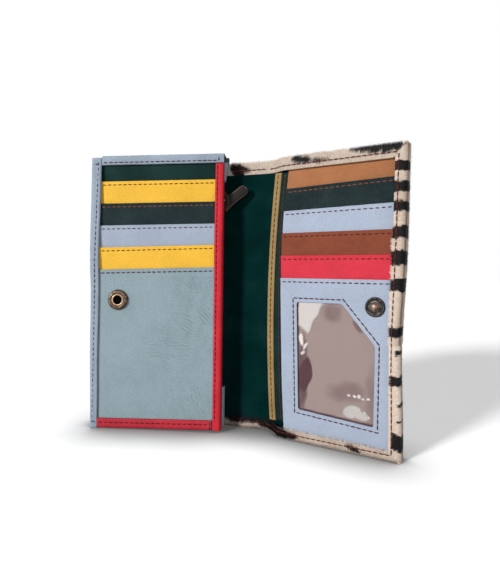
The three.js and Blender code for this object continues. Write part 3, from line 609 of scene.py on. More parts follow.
def add_slots(stack, to_row, sides, hidden, colours):
    for k, (word, look) in enumerate(colours, start=1):
        top = slot_top(stack, k)
        slab(f"{stack.name}_slot_{k}", stack.body, looks[look], to_row, sides, (top - hidden, top),
             slot_face(stack, k), CARD, 1.3, (f"{stack.name}_pocket_{k}_{word}",))


# Pouch
def wrinkles(u, z, angle, length, seed):
    """Fine wrinkles across a direction, winding and uneven along it: 0 between them, 1 in the deepest."""
    t = u * math.cos(angle) + z * math.sin(angle)
    t = t + 2.2 * wave(u, z, 22.0, seed) + 0.9 * wave(u, z, 7.0, seed + 1)
    ridge = np.abs(np.sin(math.pi * t / length))
    uneven = wave(u, z, 9.0, seed + 2) + 0.6 * wave(u, z, 4.0, seed + 3)
    return (1 - ridge) ** 1.6 * smooth_step(uneven, -0.5, 0.4)


def free_of_seams(u, z):
    """1 on the large pocket away from its seam and the socket, where its leather is free to wrinkle."""
    return (smooth_step(slot_top(POUCH, LARGE) - z, 3.0, 6.0)
            * smooth_step(np.hypot(u - SOCKET_PLACE, z - SNAP_HEIGHT), 8.0, 14.0))


def large_creases(u, z):
    """Creases of the large pocket: at its upper right, its middle and its lower right."""
    upper = smooth_step(u, -50.0, -22.0) * smooth_step(z, 52.0, 72.0)
    middle = bump_line(u + 42, 22) * bump_line(z - 60, 18)
    lower = smooth_step(u, -46.0, -30.0) * (1 - smooth_step(z, 22.0, 44.0))
    return free_of_seams(u, z) * np.maximum.reduce([upper * wrinkles(u, z, math.radians(62), 2.1, 91),
                                                    0.75 * middle * wrinkles(u, z, math.radians(86), 2.5, 94),
                                                    0.6 * lower * wrinkles(u, z, math.radians(25), 2.2, 97)])


def large_face(u, z):
    """The large pocket: slack, creased leather."""
    slack = 0.25 * wave(u, z, 70.0, 99) * np.sin(math.pi * np.clip(-u / 98, 0, 1)) ** 2
    return slot_face(POUCH, LARGE)(u, z) - 0.32 * large_creases(u, z) + slack * free_of_seams(u, z)


def add_pouch_walls():
    ends = (FOOT, POUCH.top)
    slab("pouch_back_wall", "left_half", looks["lining_green"], on_pouch, (PANEL_LEFT, 0.2), ends,
         lambda u, z: 2.4 + 0 * u, LEATHER, 4.0, ("pouch_back",))
    slab("pouch_front_wall", "left_half", looks["dark_green"], on_pouch, (PANEL_LEFT, PANEL_RIGHT), ends,
         lambda u, z: 11.4 + 0 * u, LEATHER, 4.0, ("pouch_front",))


def add_pouch_pockets():
    sides = (PANEL_LEFT, PANEL_RIGHT)
    base = sheet_front(POUCH, 0)
    slab("pouch_panel", "left_half", looks["dark_green"], on_pouch, sides, (FOOT, POUCH.top),
         lambda u, z: base(u, z) + 0.05 * wave(u, z, 30, 3), CARD, 3.0, ("pouch_pocket_backing",))
    add_slots(POUCH, on_pouch, sides, 26.0, [("yellow", "yellow"), ("green", "grained_green"),
                                             ("blue", "pale_blue"), ("yellow", "yellow")])
    made = slab("pouch_large_pocket", "left_half", looks["grey_blue"], on_pouch, sides,
                (FOOT, slot_top(POUCH, LARGE)), large_face, CARD, 0.5, ("pouch_pocket_5_large",))
    points = piece_points(made)
    # Painted shade in the creases, as the 'crease' attribute
    paint(made, "crease", large_creases(points[:, 0] - POUCH_EDGE[0], points[:, 2]))


def add_pouch_bindings():
    def left_width(z):
        return BAND_LEFT_FOOT + (BAND_LEFT_TOP - BAND_LEFT_FOOT) * z / POUCH_HEIGHT

    def left_at(a, t):
        return -POUCH_WIDTH + a + 0.35 * wave(a * 0, t, 60, 8), t

    binding("left_edge", "left_half", looks["strip_blue"], on_pouch, left_at, (0.0, 198.6), 0.4,
            pouch_wrap, 6.0, left_width, replaces=("left_binding",), seam=4.2)
    uu, depth = np.meshgrid(np.linspace(-98.2, -90.7, 6), np.linspace(0.9, 14.0, 9), indexing="ij")
    sag = 0.3 * np.sin(math.pi * (depth - 0.9) / 13.1)
    for name, foot in (("corner_fold_top", 197.2), ("corner_fold_foot", 0.8)):
        points, faces = closed_slab(on_pouch(uu, depth, foot + 1.3 - sag), on_pouch(uu, depth, foot - sag))
        make_object(name, points, faces, "left_half", looks["strip_blue"])
    binding("top_edge", "left_half", looks["strip_blue"], on_pouch, lambda a, t: (t, POUCH_HEIGHT - a),
            (-90.9, 0.0), 0.4, pouch_wrap(POUCH_HEIGHT - TOP_BAND / 2), 6.0, TOP_BAND,
            replaces=("top_binding",), seam=5.0)
    binding("bottom_edge", "left_half", looks["foot_red"], on_pouch, lambda a, t: (t, a), (-92.9, -7.1), 0.4,
            pouch_wrap(2.0), 6.0, BOTTOM_BAND, replaces=("bottom_binding",), seam=4.2)
    binding("right_edge", "left_half", looks["binding_red"], on_pouch, lambda a, t: (-a, t), (0.0, 192.8),
            9.4, pouch_wrap, 6.0, RIGHT_BAND - 0.5, replaces=("right_binding",), seam=4.2)


# Leaf
def bow(z, inset):
    """The divider's bowed free edge."""
    share = (z - 88.0) / 98.0
    return 8.2 - 4.8 * (1 - share * share) + inset


def pocket_edge(z):
    """Free edge of the leaf's pockets: the green strip beside it widens towards the foot."""
    return bow(z, 10.4 + 2.6 * (1 - smooth_step(z, 60.0, 165.0)))


def add_divider():
    slab("divider_sheet", "right_leaf", looks["dark_green"], on_leaf, (lambda z: bow(z, 0.7), 30.0),
         (TRIM_LOW, TRIM_HIGH), lambda u, z: 1.8 + 0.05 * wave(u, z, 25, 4), 0.8, 2.0, ("divider",))
    binding("divider_edge", "right_leaf", looks["tan"], on_leaf, lambda a, t: (bow(t, 0) + a, t),
            (TRIM_LOW, TRIM_HIGH), 0.3, 2.5, 5.5, 5.5, thickness=0.6, radius=0.7, replaces=("divider_trim",),
            puff=0.18, seam=2.6)


def add_leaf_pockets():
    sides = (pocket_edge, LEAF_RIGHT)
    slab("leaf_panel", "right_leaf", looks["orange"], on_leaf, sides, (LEAF_FOOT, LEAF.top),
         sheet_front(LEAF, 0), CARD, 2.5, ("leaf_pocket_backing",))
    add_slots(LEAF, on_pockets, sides, 24.0, [("green", "grained_green"), ("blue", "pale_blue"),
                                              ("brown", "brown"), ("red", "red")])


WINDOW = [(28.0, 96.2), (60.0, 96.2), (82.0, 70.4), (82.0, 18.8), (30.4, 22.0)]


def rounded_polygon(corners, radius, steps=6):
    points = []
    count = len(corners)
    for k in range(count):
        p, a, b = (np.array(corners[i % count], float) for i in (k, k - 1, k + 1))
        start, end = (p + (q - p) / np.linalg.norm(q - p) * radius for q in (a, b))
        for t in np.linspace(0, 1, steps):
            points.append((1 - t) ** 2 * start + 2 * t * (1 - t) * p + t * t * end)
    return np.array(points)


def line_lengths(line):
    return np.concatenate([[0], np.cumsum(np.linalg.norm(np.diff(line, axis=0), axis=1))])


def along_line(line, lengths, at):
    return np.stack([np.interp(at, lengths, line[:, k]) for k in range(2)], -1)


def resample(points, count):
    """Evenly spaced points round a closed outline, with its corners kept near."""
    closed = np.vstack([points, points[:1]])
    lengths = line_lengths(closed)
    return along_line(closed, lengths, np.linspace(0, lengths[-1], count, endpoint=False))


def polygon_distance(u, z, corners):
    best = np.full(u.shape, 1e9)
    for k in range(len(corners)):
        a, b = np.array(corners[k]), np.array(corners[(k + 1) % len(corners)])
        d = b - a
        t = np.clip(((u - a[0]) * d[0] + (z - a[1]) * d[1]) / (d @ d), 0, 1)
        best = np.minimum(best, np.hypot(u - a[0] - t * d[0], z - a[1] - t * d[1]))
    return best


def window_rings(top):
    """Rings of (u, z) from the window's hole out to the panel's outline, and how far each drops."""
    hole = resample(rounded_polygon(WINDOW, 1.6), 280)
    centre = hole.mean(0)
    du, dz = (hole - centre).T
    edge_u = np.where(du > 0, LEAF_RIGHT, pocket_edge(centre[1]))
    edge_z = np.where(dz > 0, top, LEAF_FOOT)
    scale = np.minimum((edge_u - centre[0]) / du, (edge_z - centre[1]) / dz)
    outer = centre + (hole - centre) * scale[:, None]
    free_edge = pocket_edge(outer[:, 1])
    beside = outer[:, 0] < pocket_edge(centre[1]) + 0.6
    outer[:, 0] = np.where(beside, free_edge, np.maximum(outer[:, 0], free_edge))
    # The grid's corners are pulled onto the panel's own corners
    for z in (top, LEAF_FOOT):
        for corner in ((pocket_edge(z), z), (LEAF_RIGHT, z)):
            outer[np.argmin(np.linalg.norm(outer - np.array(corner), axis=1))] = corner
    radius = CARD * 0.5
    near = radius * (1 - np.cos(np.linspace(0, math.pi / 2, 4)))
    between = np.linspace(0.03, 0.97, 22)
    gaps = np.linalg.norm(outer - hole, axis=1)
    shares = np.array([d / gaps for d in near] + [np.full_like(gaps, share) for share in between]
                      + [1 - d / gaps for d in near[::-1]])
    drops = edge_drop(np.concatenate([near, np.full(len(between), radius), near[::-1]]), radius)
    rings = hole + (outer - hole) * shares[:, :, None]
    return np.concatenate([rings, rings[:, :1]], 1), drops[:, None]


def add_window_panel():
    rings, drop = window_rings(slot_top(LEAF, LARGE))
    u, z = rings[..., 0], rings[..., 1]
    # The leather is pressed along the window's seam
    depth = slot_face(LEAF, LARGE)(u, z) - 0.18 * bump_line(polygon_distance(u, z, WINDOW) - 2.7, 0.55)
    points, faces = closed_slab(on_leaf(u, depth - drop, z), on_leaf(u, depth - CARD + drop, z))
    make_object("leaf_window_frame", points, faces, "right_leaf", looks["pale_blue"], ("leaf_window_panel",))


def blob(u, z, at_u, at_z, wide, high, angle, soft, seed):
    """Soft-edged oval, wavy round its edge: 1 inside, 0 outside."""
    du, dz = u - at_u + 1.5 * wave(u, z, 12.0, seed), z - at_z + 1.5 * wave(u, z, 11.0, seed + 1)
    a, b = du * math.cos(angle) + dz * math.sin(angle), dz * math.cos(angle) - du * math.sin(angle)
    return 1 - smooth_step(np.hypot(a / wide, b / high), 1 - soft, 1 + soft)


def strongest(u, z, spots):
    return np.maximum.reduce([strength * blob(u, z, *spot) for strength, *spot in spots])


# Painted glints and painted shade in the window, as ovals: strength, middle (u, z), half width and height,
# angle, softness, seed
PAINTED_GLINTS = [(0.7, 68.0, 26.4, 5.4, 4.0, 0.3, 0.2, 203), (0.7, 73.6, 25.0, 6.0, 3.0, -0.3, 0.2, 204),
          (1.5, 31.8, 70.5, 1.3, 3.4, 0.15, 0.5, 205), (1.0, 34.4, 66.5, 1.0, 3.2, -0.4, 0.5, 207),
          (1.0, 33.2, 61.5, 1.6, 0.9, 0.4, 0.5, 208), (1.0, 76.5, 27.0, 0.7, 0.9, 0.0, 0.6, 220),
          (1.0, 78.2, 24.2, 0.7, 0.9, 0.0, 0.6, 220)]
PAINTED_GLINTS += [(1.3, 66.5 + 2.9 * k, 36.6 - 0.25 * k, 0.9, 0.8, 0.0, 0.6, 209 + k) for k in range(5)]
PAINTED_SHADES = [(1.25, 34.6, 47.0, 4.6, 12.0, -0.1, 0.15, 231), (0.8, 33.0, 48.0, 4.0, 26.0, 0.0, 0.3, 232),
          (0.35, 79.5, 38.0, 4.0, 22.0, 0.0, 0.7, 235), (0.45, 53.0, 90.0, 7.0, 7.0, 0.3, 0.6, 237),
          (0.45, 64.0, 38.0, 15.0, 7.0, 0.1, 0.7, 239), (0.6, 70.5, 82.0, 1.6, 5.0, 0.75, 0.4, 241)]


def painted_glare_at(u, z):
    """Painted reflection on the film, where it would mirror a bright room: a broad patch, a curved streak, a
    soft bar and small glints.
    """
    rough = u + 1.2 * wave(u, z, 9.0, 201)
    high = (smooth_step(rough, 28.6, 30.0) * (1 - smooth_step(rough - 0.55 * (z - 78.0), 36.2, 38.6))
            * smooth_step(z - 0.8 * (36.0 - u), 74.0, 77.0) * 0.95)
    return np.maximum(high, strongest(u, z, PAINTED_GLINTS))


def painted_shade_at(u, z):
    """Painted shade on the lining behind the film: painted dark reflections, and a painted shadow along the
    window's lower and left edges.
    """
    # Painted shadow inside the window's lower and left sides, there and back, since the outline must close
    sides = WINDOW[3:] + WINDOW[:1] + WINDOW[4:]
    edge = 0.95 * (1 - smooth_step(polygon_distance(u, z, sides), 0.7, 1.6))
    return np.maximum(edge, strongest(u, z, PAINTED_SHADES))


def leaf_coordinates(made):
    """u and z of each vertex of a piece built on the leaf."""
    points, angle = piece_points(made), SPINE_ANGLE + LEAF_ANGLE
    u = (points[:, 0] - LEAF_FOLD[0]) * math.cos(angle) - (points[:, 1] - LEAF_FOLD[1]) * math.sin(angle)
    return u, points[:, 2]


def add_window():
    panel_back = large_front(LEAF) - CARD
    made = slab("window_sheet", "right_leaf", looks["film"], on_leaf, (25.2, 84.8), (16.2, 99.0),
                lambda u, z: panel_back - 0.12 + 0.1 * wave(u, z, 26, 9), 0.15, 0.6, ("window_film",))
    # Painted reflection: the film's glare, as an attribute that sets its alpha
    paint(made, "glare", painted_glare_at(*leaf_coordinates(made)))
    made = slab("window_backing", "right_leaf", looks["window_lining"], on_leaf, (25.0, 85.0),
                (LEAF_FOOT, 97.7), lambda u, z: panel_back - 0.5 + 0.08 * wave(u, z, 30, 6), 0.4, 0.8,
                ("window_lining",))
    # Painted shade and painted dark reflections on the lining, as its 'dark' attribute
    paint(made, "dark", painted_shade_at(*leaf_coordinates(made)))


# Cover: hair-on hide with turned hems, as sheets that bend with the folds.
# Dark bars on the leaf's right hem: low and high ends, and how far in they reach
HEM_BARS = [(179.6, 185.9, 1.0), (167.0, 173.4, 1.0), (154.6, 161.0, 1.0), (138.2, 145.8, 1.0),
            (121.6, 130.4, 0.97), (105.4, 113.4, 0.95), (77.2, 83.4, 0.9), (66.4, 69.2, 0.4),
            (47.0, 53.2, 0.9), (34.6, 36.6, 0.3), (24.4, 26.0, 0.3), (6.0, 16.5, 0.75)]
# Dark patches on the hems: first and last place along the cover, height of their middle at both,
# their thickness and which end is the thicker one
PATCHES = [(1.5, 18.5, 192.4, 190.2, 3.6, -0.5), (51.0, 66.0, 194.2, 192.4, 2.9, -0.1),
           (62.0, 80.0, 191.8, 190.8, 1.2, 0.0), (91.0, 127.5, 195.9, 194.6, 4.0, 0.35),
           (-4.0, 34.0, 6.6, 5.8, 3.4, 0.0), (23.0, 62.0, 5.4, 2.2, 4.0, -0.4),
           (94.0, 105.0, 4.0, 1.6, 1.5, 0.0)]


def patch(s, z, s0, s1, z0, z1, thick, lean):
    """A dark brush-like mark with tapering, ragged ends."""
    t = np.clip((s - s0) / (s1 - s0), 0, 1)
    envelope = thick * np.maximum(4 * t * (1 - t), 0) ** 0.6 * (1 + lean * (2 * t - 1))
    ragged = 0.9 * wave(s, z, 7.0, 71) + 0.6 * wave(s, z, 2.2, 73)
    away = np.abs(z - (z0 + (z1 - z0) * t)) + ragged
    return (1 - smooth_step(away, envelope - 0.9, envelope + 0.9)) * (t > 0) * (t < 1)


def stripes(s, z):
    """Broad dark bands over the outside, forking and thinning as they cross it."""
    phase = z / 15.5 + 0.95 * wave(s, z * 0.6, 95.0, 61) + 0.25 * wave(s, z, 32.0, 62)
    width = 0.08 + 0.42 * wave(s, z, 60.0, 63) + 0.2 * wave(s, z, 18.0, 64)
    return smooth_step(np.sin(2 * math.pi * phase), width, width + 0.3)


def hair_darkness(info):
    """How dark the hair is: 0 cream to 1 black. info holds s, z and whether it's on a turned hem."""
    s, z = info[..., 0], info[..., 1]
    from_edge = HIDE_RIGHT - s
    bars = np.zeros(np.shape(s))
    ragged = z + 0.9 * wave(s, z, 6.0, 72) + 0.9 * wave(s, z, 2.2, 74)
    for low, high, reach in HEM_BARS:
        height = ragged - (0.35 * from_edge if high < 20 else 0.0)
        inside = smooth_step(height, low - 0.9, low + 0.9) * (1 - smooth_step(height, high - 0.9, high + 0.9))
        bars = np.maximum(bars, inside * (1 - smooth_step(from_edge, 8.6 * reach - 0.8, 8.6 * reach + 0.8)))
    mitre = 1 - smooth_step(np.abs(from_edge + z - COVER_HEIGHT), 0.2, 0.6)
    hems = np.maximum(bars, 0.58 * mitre * (from_edge < HEM))
    for mark in PATCHES:
        hems = np.maximum(hems, patch(s, z, *mark))
    outside = stripes(s, z)
    near = 1 - smooth_step(from_edge, 4.0, 16.0)
    return np.where(info[..., 2] > 0.5, hems, outside * (1 - near) + near * np.maximum(bars, outside * 0.2))


def over_leaf(z):
    """Face of the leaf's turned hem over its stack."""
    return leaf_wrap(np.clip(z, 3.0, 194.0))


def hem_depth(s, z):
    """Depth of the turned hem's hair side: level on the spine, over the pockets on the leaf."""
    rise = smooth_step(s - LEAF_START, 5.0, 17.0)
    return rise * over_leaf(z) + 0.35 * (1 - rise) * smooth_step(s, 2.0, 6.0)


def foot_hem(s):
    return float(np.interp(s, (10.0, LEAF_START, HIDE_RIGHT), (7.2, 6.8, 5.8)))


def hide_sheet(s0, s1, thickness=1.3, radius=1.5):
    """Hair side, flesh side and places of the cover between two stations, turned over at top and bottom."""
    arc = np.linspace(0, math.pi / 2, 5)[1:]
    middle = np.linspace(0, COVER_HEIGHT, 111)
    middle = middle[(middle > radius * 1.6) & (middle < COVER_HEIGHT - radius * 1.6)]

    def turned(s, shrink, low):
        """Rows z, depth and side from a hem's free edge round to the outside."""
        corner = np.clip(HIDE_RIGHT - 0.25 - s, 0.4, HEM)
        r = max(radius - shrink, 0.25)
        hem = min(foot_hem(s) if low else HEM, max(corner, r + shrink + 0.2))
        front = float(hem_depth(s, HEM / 2 if low else COVER_HEIGHT - HEM / 2)) - shrink
        a = np.concatenate([np.linspace(hem, r + shrink, 5), shrink + r - r * np.sin(arc),
                            shrink + r - r * np.cos(arc)])
        d = np.concatenate([np.full(5, front), front - r + r * np.cos(arc),
                            shrink - HIDE_BACK + r - r * np.sin(arc)])
        d[:5] += 0.3 * np.sin(np.clip(a[:5] / hem, 0, 1) * math.pi)
        return np.stack([a if low else COVER_HEIGHT - a, d, np.repeat([1.0, 0.0], [9, 4])])

    def profile(s, shrink):
        outside = np.stack([middle, np.full(len(middle), shrink - HIDE_BACK), np.zeros(len(middle))])
        return np.concatenate([turned(s, shrink, True), outside, turned(s, shrink, False)[:, ::-1]], 1)

    outer, inner, side = [], [], []
    for s in s0 + graded(s1 - s0, 1.6, thickness * 0.5):
        z, depth, hem = profile(s, 0.0)
        outer.append(on_cover(s, depth, z))
        side.append(np.stack([np.full(len(z), s), z, hem], -1))
        z, depth, hem = profile(s, thickness)
        inner.append(on_cover(s, depth, z))
    return np.array(outer), np.array(inner), np.array(side)


def hair_blades(outer, side, count, length, lay, seed, comb):
    """Short hairs over a hair-side grid, with their places. comb is their direction, on hems and outside."""
    local = np.random.default_rng(seed)
    a = outer[1:, :-1] - outer[:-1, :-1]
    normal = np.cross(a, outer[:-1, 1:] - outer[:-1, :-1])
    area = np.linalg.norm(normal, axis=-1)
    cells = local.choice(area.size, count, p=(area / area.sum()).ravel())
    i, j = np.unravel_index(cells, area.shape)
    fi, fj = local.random((2, count, 1))

    def mix(grid):
        low = grid[i, j] * (1 - fi) + grid[i + 1, j] * fi
        high = grid[i, j + 1] * (1 - fi) + grid[i + 1, j + 1] * fi
        return low * (1 - fj) + high * fj

    root, info = mix(outer), mix(side)
    n = normal[i, j] / np.maximum(area[i, j], 1e-9)[:, None]
    along_s = a[i, j] / np.maximum(np.linalg.norm(a[i, j], axis=-1, keepdims=True), 1e-9)
    along_z = np.cross(along_s, n)
    cs, cz = (np.where(info[:, 2] > 0.5, *pair) for pair in comb)
    swirl = 0.5 * wave(info[:, 0], info[:, 1], 30.0, 81) + local.normal(0, 0.22, count)
    cs, cz = cs * np.cos(swirl) - cz * np.sin(swirl), cs * np.sin(swirl) + cz * np.cos(swirl)
    up = np.where(along_z[:, 2] > 0, 1.0, -1.0)
    flow = along_s * cs[:, None] + along_z * (cz * up)[:, None]
    flow /= np.linalg.norm(flow, axis=-1, keepdims=True)
    long = length * local.uniform(0.6, 1.15, count)
    angle = lay * local.uniform(0.5, 1.6, count)
    tip = root + flow * (long * np.cos(angle))[:, None] - n * (long * np.sin(angle))[:, None]
    tip[:, 2] = np.maximum(tip[:, 2], 0.0)
    half = np.cross(flow, n) * (0.2 * local.uniform(0.6, 1.2, count) / 2)[:, None]
    lifted = root - n * 0.02
    points = np.stack([lifted - half, lifted + half, tip], 1).reshape(-1, 3)
    return points, np.arange(count * 3).reshape(-1, 3), info


def build_hide(name, grids, hairs, length, seed, comb, lay):
    """One piece: the hide as a closed sheet, and its hairs, with their darkness as an attribute."""
    outer, inner, side = grids
    facing = np.cross(outer[1:, :-1] - outer[:-1, :-1], outer[:-1, 1:] - outer[:-1, :-1])[..., 1]
    if np.mean(facing[side[1:, 1:, 2] < 0.5]) > 0:
        outer, inner, side = (grid[:, ::-1] for grid in grids)
    skin_points, skin_faces = closed_slab(outer, inner)
    blades, blade_faces, info = hair_blades(outer, side, hairs, length, lay, seed, comb)
    dark_skin = hair_darkness(side).ravel()
    dark_hair = hair_darkness(info) + np.random.default_rng(seed + 2).normal(0, 0.14, hairs)
    shades = np.random.default_rng(seed + 1).uniform(0.2, 1.0, hairs)
    skin = make_object(name, skin_points, skin_faces, None, looks["hide"])
    points = piece_points(skin)
    dark_skin = np.concatenate([dark_skin, np.zeros(len(dark_skin))])[match_points(points, skin_points)]
    faces = [list(p.vertices) for p in skin.data.polygons] + (blade_faces + len(points)).tolist()
    mesh = bpy.data.meshes.new(name)
    mesh.from_pydata((np.concatenate([points, blades]) * MM).tolist(), [], faces)
    mesh.polygons.foreach_set("use_smooth", [True] * len(mesh.polygons))
    mesh.materials.append(looks["hide"][1])
    old, skin.data = skin.data, mesh
    bpy.data.meshes.remove(old)
    paint(skin, "darkness", np.concatenate([dark_skin, np.repeat(dark_hair, 3)]))
    paint(skin, "hair", np.concatenate([np.zeros(len(points)), np.repeat(shades, 3)]))
    return skin


# Hairs' directions along the cover and up it, each on hems and outside
COVER_COMB = ((0.25, 0.3), (1.0, -1.0))
HEM_COMB = ((0.15, 0.15), (1.0, -0.4))
# Bodies on both sides of each fold, and where the leather starts and stops bending
FOLDS = {"spine_fold": ("left_half", "spine", FOLD_OFFSET - 5.0, FOLD_OFFSET + 7.0),
         "cover_fold": ("spine", "right_leaf", LEAF_START - 7.0, LEAF_START + 5.0)}


def bend_at(made, fold, *replaced):
    """Bakes a piece that lies over a fold into place, and hides the parts it replaces."""
    first, second, start, end = FOLDS[fold]
    start, end = (tuple(map(float, on_cover(s, 0.0, 98.0) * MM)) for s in (start, end))
    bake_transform(made)
    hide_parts(*replaced)


def add_cover():
    left = build_hide("hide_left", hide_sheet(HIDE_LEFT, SPINE_MIDDLE), 120000, 3.0, 31, COVER_COMB, 0.22)
    bend_at(left, "spine_fold", "back_cover")
    right_grids = hide_sheet(SPINE_MIDDLE, HIDE_RIGHT - 0.8)
    right = build_hide("hide_right", right_grids, 130000, 3.0, 32, COVER_COMB, 0.22)
    bend_at(right, "cover_fold", "spine_cover", "leaf_cover")


def side_hem(name, body, to_row, at, offset, front, hairs, seed):
    """The hide turned round an upright edge, as its own hairy strip. offset takes its u to the cover's s."""
    thickness = 1.2
    outer, inner, side = [], [], []
    for t in graded(COVER_HEIGHT, 1.5, 0.6):
        width = float(np.clip(min(t * HEM / 5.8, COVER_HEIGHT - 0.25 - t), 0.4, HEM - 0.8))
        for shrink, store in ((0.0, outer), (thickness, inner)):
            a, d = folded(0.05 - HIDE_BACK, front(t), 1.6, shrink, 3.5, width, 3)
            d[-9:] += 0.3 * np.sin(np.clip(a[-9:] / HEM, 0, 1) * math.pi)
            store.append(to_row(at(a), d, np.full_like(a, t)))
            if shrink == 0.0:
                on_hem = (np.arange(len(a)) >= 8) * 1.0
                side.append(np.stack([at(a) + offset, np.full_like(a, t), on_hem], -1))
    grids = (np.array(outer), np.array(inner), np.array(side))
    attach(build_hide(name, grids, hairs, 1.9, seed, HEM_COMB, 0.2), body)


def add_side_hems():
    side_hem("hem_right", "right_leaf", on_leaf, lambda a: LEAF_WIDTH - a, LEAF_START, over_leaf, 30000, 33)
    side_hem("hem_left", "left_half", on_pouch, lambda a: HIDE_LEFT + a, 0.0, lambda t: 0.0, 12000, 34)


def add_lining(name, s0, s1, fold, *replaced):
    heights, stations = 5.0 + graded(COVER_HEIGHT - 13.0, 2.5, 0.3), s0 + graded(s1 - s0, 2.0, 0.3)
    zz, ss = np.meshgrid(heights, stations, indexing="ij")
    ripple = 0.18 * wave(ss, zz * 0.5, 30.0, 51) * np.clip((ss - 6) / 8, 0, 1) * np.clip((40 - ss) / 6, 0, 1)
    face = -0.2 + ripple
    points, faces = closed_slab(on_cover(ss, face, zz), on_cover(ss, face - 0.9, zz))
    bend_at(make_object(name, points, faces, None, looks["lining_green"]), fold, *replaced)


def add_linings():
    add_lining("lining_left", -88.0, SPINE_MIDDLE, "spine_fold", "back_lining")
    add_lining("lining_right", SPINE_MIDDLE, HIDE_RIGHT - 3.0, "cover_fold", "spine_lining", "leaf_lining")


# Stitches: short threads along seams, each a small arched capsule
STITCH_PITCH = 3.85
STITCH_LENGTH = 3.25
THREAD_RADIUS = 0.4
THREAD_SIDES = 6


def walk(points, closed=False):
    """Middles and directions of the stitches along a line."""
    line = np.array(points, float)
    if closed:
        line = np.vstack([line, line[:1]])
    lengths = line_lengths(line)
    count = max(1, int(round(lengths[-1] / STITCH_PITCH)))
    at = (np.arange(count) + 0.5) * lengths[-1] / count
    ahead = (along_line(line, lengths, np.minimum(at + 0.2, lengths[-1]))
             - along_line(line, lengths, np.maximum(at - 0.2, 0)))
    ahead = ahead / np.maximum(np.linalg.norm(ahead, axis=1, keepdims=True), 1e-9)
    return zip(along_line(line, lengths, at), ahead)


def add_stitches(name, body, look, to_row, lines, depth, seed, closed=False):
    local = np.random.default_rng(seed)
    points, faces = [], []
    ring = np.linspace(0, 2 * math.pi, THREAD_SIDES, endpoint=False)
    stations = np.linspace(-1, 1, 6)
    for (u, z), (du, dz) in (stitch for line in lines for stitch in walk(line, closed)):
        tilt = local.normal(0, 0.04)
        du, dz = du * math.cos(tilt) - dz * math.sin(tilt), du * math.sin(tilt) + dz * math.cos(tilt)
        half = STITCH_LENGTH * local.uniform(0.9, 1.08) / 2
        base = len(points)
        for q in stations:
            radius = THREAD_RADIUS * (0.55 + 0.45 * (1 - q * q) ** 0.5)
            cu, cz = u + du * half * q, z + dz * half * q
            level = float(depth(np.array(cu), np.array(cz))) + 0.22 * (1 - q * q) - 0.12
            for angle in ring:
                off, up = radius * math.cos(angle), 0.7 * radius * math.sin(angle)
                points.append((cu - dz * off, level + up, cz + du * off))
        last = base + (len(stations) - 1) * THREAD_SIDES
        for k in range(base, last, THREAD_SIDES):
            for m in range(THREAD_SIDES):
                a, b = k + m, k + (m + 1) % THREAD_SIDES
                faces.append((a, b, b + THREAD_SIDES, a + THREAD_SIDES))
        faces.append(tuple(range(base, base + THREAD_SIDES))[::-1])
        faces.append(tuple(range(last, last + THREAD_SIDES)))
    make_object(name, to_row(*np.array(points).T), faces, body, looks[look])


def add_slot_stitches(stack, to_row, start, end, pale, seed):
    """A seam under the edge of each pocket; the one on dark green leather has paler thread."""
    for k in range(1, LARGE + 1):
        z = slot_top(stack, k) - SLOT_SEAM
        face = large_face if stack is POUCH and k == LARGE else slot_face(stack, k)
        look = "pale_thread" if k == pale else "dark_thread"
        add_stitches(f"{stack.name}_slot_stitches_{k}", stack.body, look, to_row,
                     [[(start(slot_top(stack, k)), z), (end, z)]], face, seed + k)


def add_pouch_stitches():
    add_slot_stitches(POUCH, on_pouch, lambda z: -91.0, -7.2, 2, 100)
    top_level, foot_level = pouch_wrap(POUCH_HEIGHT - TOP_BAND / 2), pouch_wrap(2.0)
    seams = [("left", lambda u, z: pouch_wrap(z) + 0.05,
              [[(-93.4, 196.0), (-96.6, 3.0)], [(-97.0, 193.8), (-92.0, 193.8)],
               [(-97.0, 4.8), (-94.0, 4.8)]]),
             ("top", lambda u, z: top_level + 0.1,
              [[(-90.0, 194.8), (-5.0, 194.8)], [(-3.9, 193.4), (-3.9, 199.0)]]),
             ("bottom", lambda u, z: foot_level + 0.08,
              [[(-92.0, 4.3), (-9.6, 4.3)], [(-8.4, 0.6), (-8.4, 6.4)]]),
             ("right", lambda u, z: pouch_wrap(z) + 0.05, [[(-4.6, 191.5), (-4.6, 8.0)]])]
    for k, (word, depth, lines) in enumerate(seams):
        add_stitches(f"{word}_edge_stitches", "left_half", "dark_thread", on_pouch, lines, depth, 110 + k)


def add_leaf_stitches():
    add_slot_stitches(LEAF, on_pockets, lambda z: float(pocket_edge(z)) + 1.0, 91.0, 1, 120)
    seam = [(25.3, 98.9), (61.2, 98.9), (84.7, 71.4), (84.7, 15.9), (27.9, 19.6)]
    add_stitches("window_stitches", "right_leaf", "dark_thread", on_leaf, [seam], slot_face(LEAF, LARGE), 130,
                 closed=True)
    heights = np.linspace(TRIM_LOW + 1, TRIM_HIGH - 1, 60)
    seams = [("trim_stitches", lambda u, z: 2.52, [(bow(z, 2.7), z) for z in heights]),
             ("divider_stitches", lambda u, z: 1.8,
              [((bow(z, 5.5) + pocket_edge(z)) / 2, z) for z in heights]),
             ("hem_stitches", lambda u, z: over_leaf(z) + 0.85, [(94.4, 190.8), (94.4, 4.2)])]
    for k, (name, depth, line) in enumerate(seams):
        add_stitches(name, "right_leaf", "rust_thread", on_leaf, [line], depth, 131 + k)
    for name, body, first, last in (("hem_stitches_flat", "right_leaf", LEAF_START + 3.0, LEAF_START + 93.5),
                                    ("spine_hem_stitches", "spine", 4.0, LEAF_START)):
        lines = [[(first, 191.0), (last, 191.4)], [(first, 4.2), (last, 4.2)]]
        add_stitches(name, body, "rust_thread", on_cover, lines,
                     lambda s, z: hem_depth(s, z) + 0.85, 134)


# Press stud
TURNED_SIDES = 64
STUD_BEADS = 30
BEAD_CIRCLE = 5.75
BEAD_RADIUS = 0.5


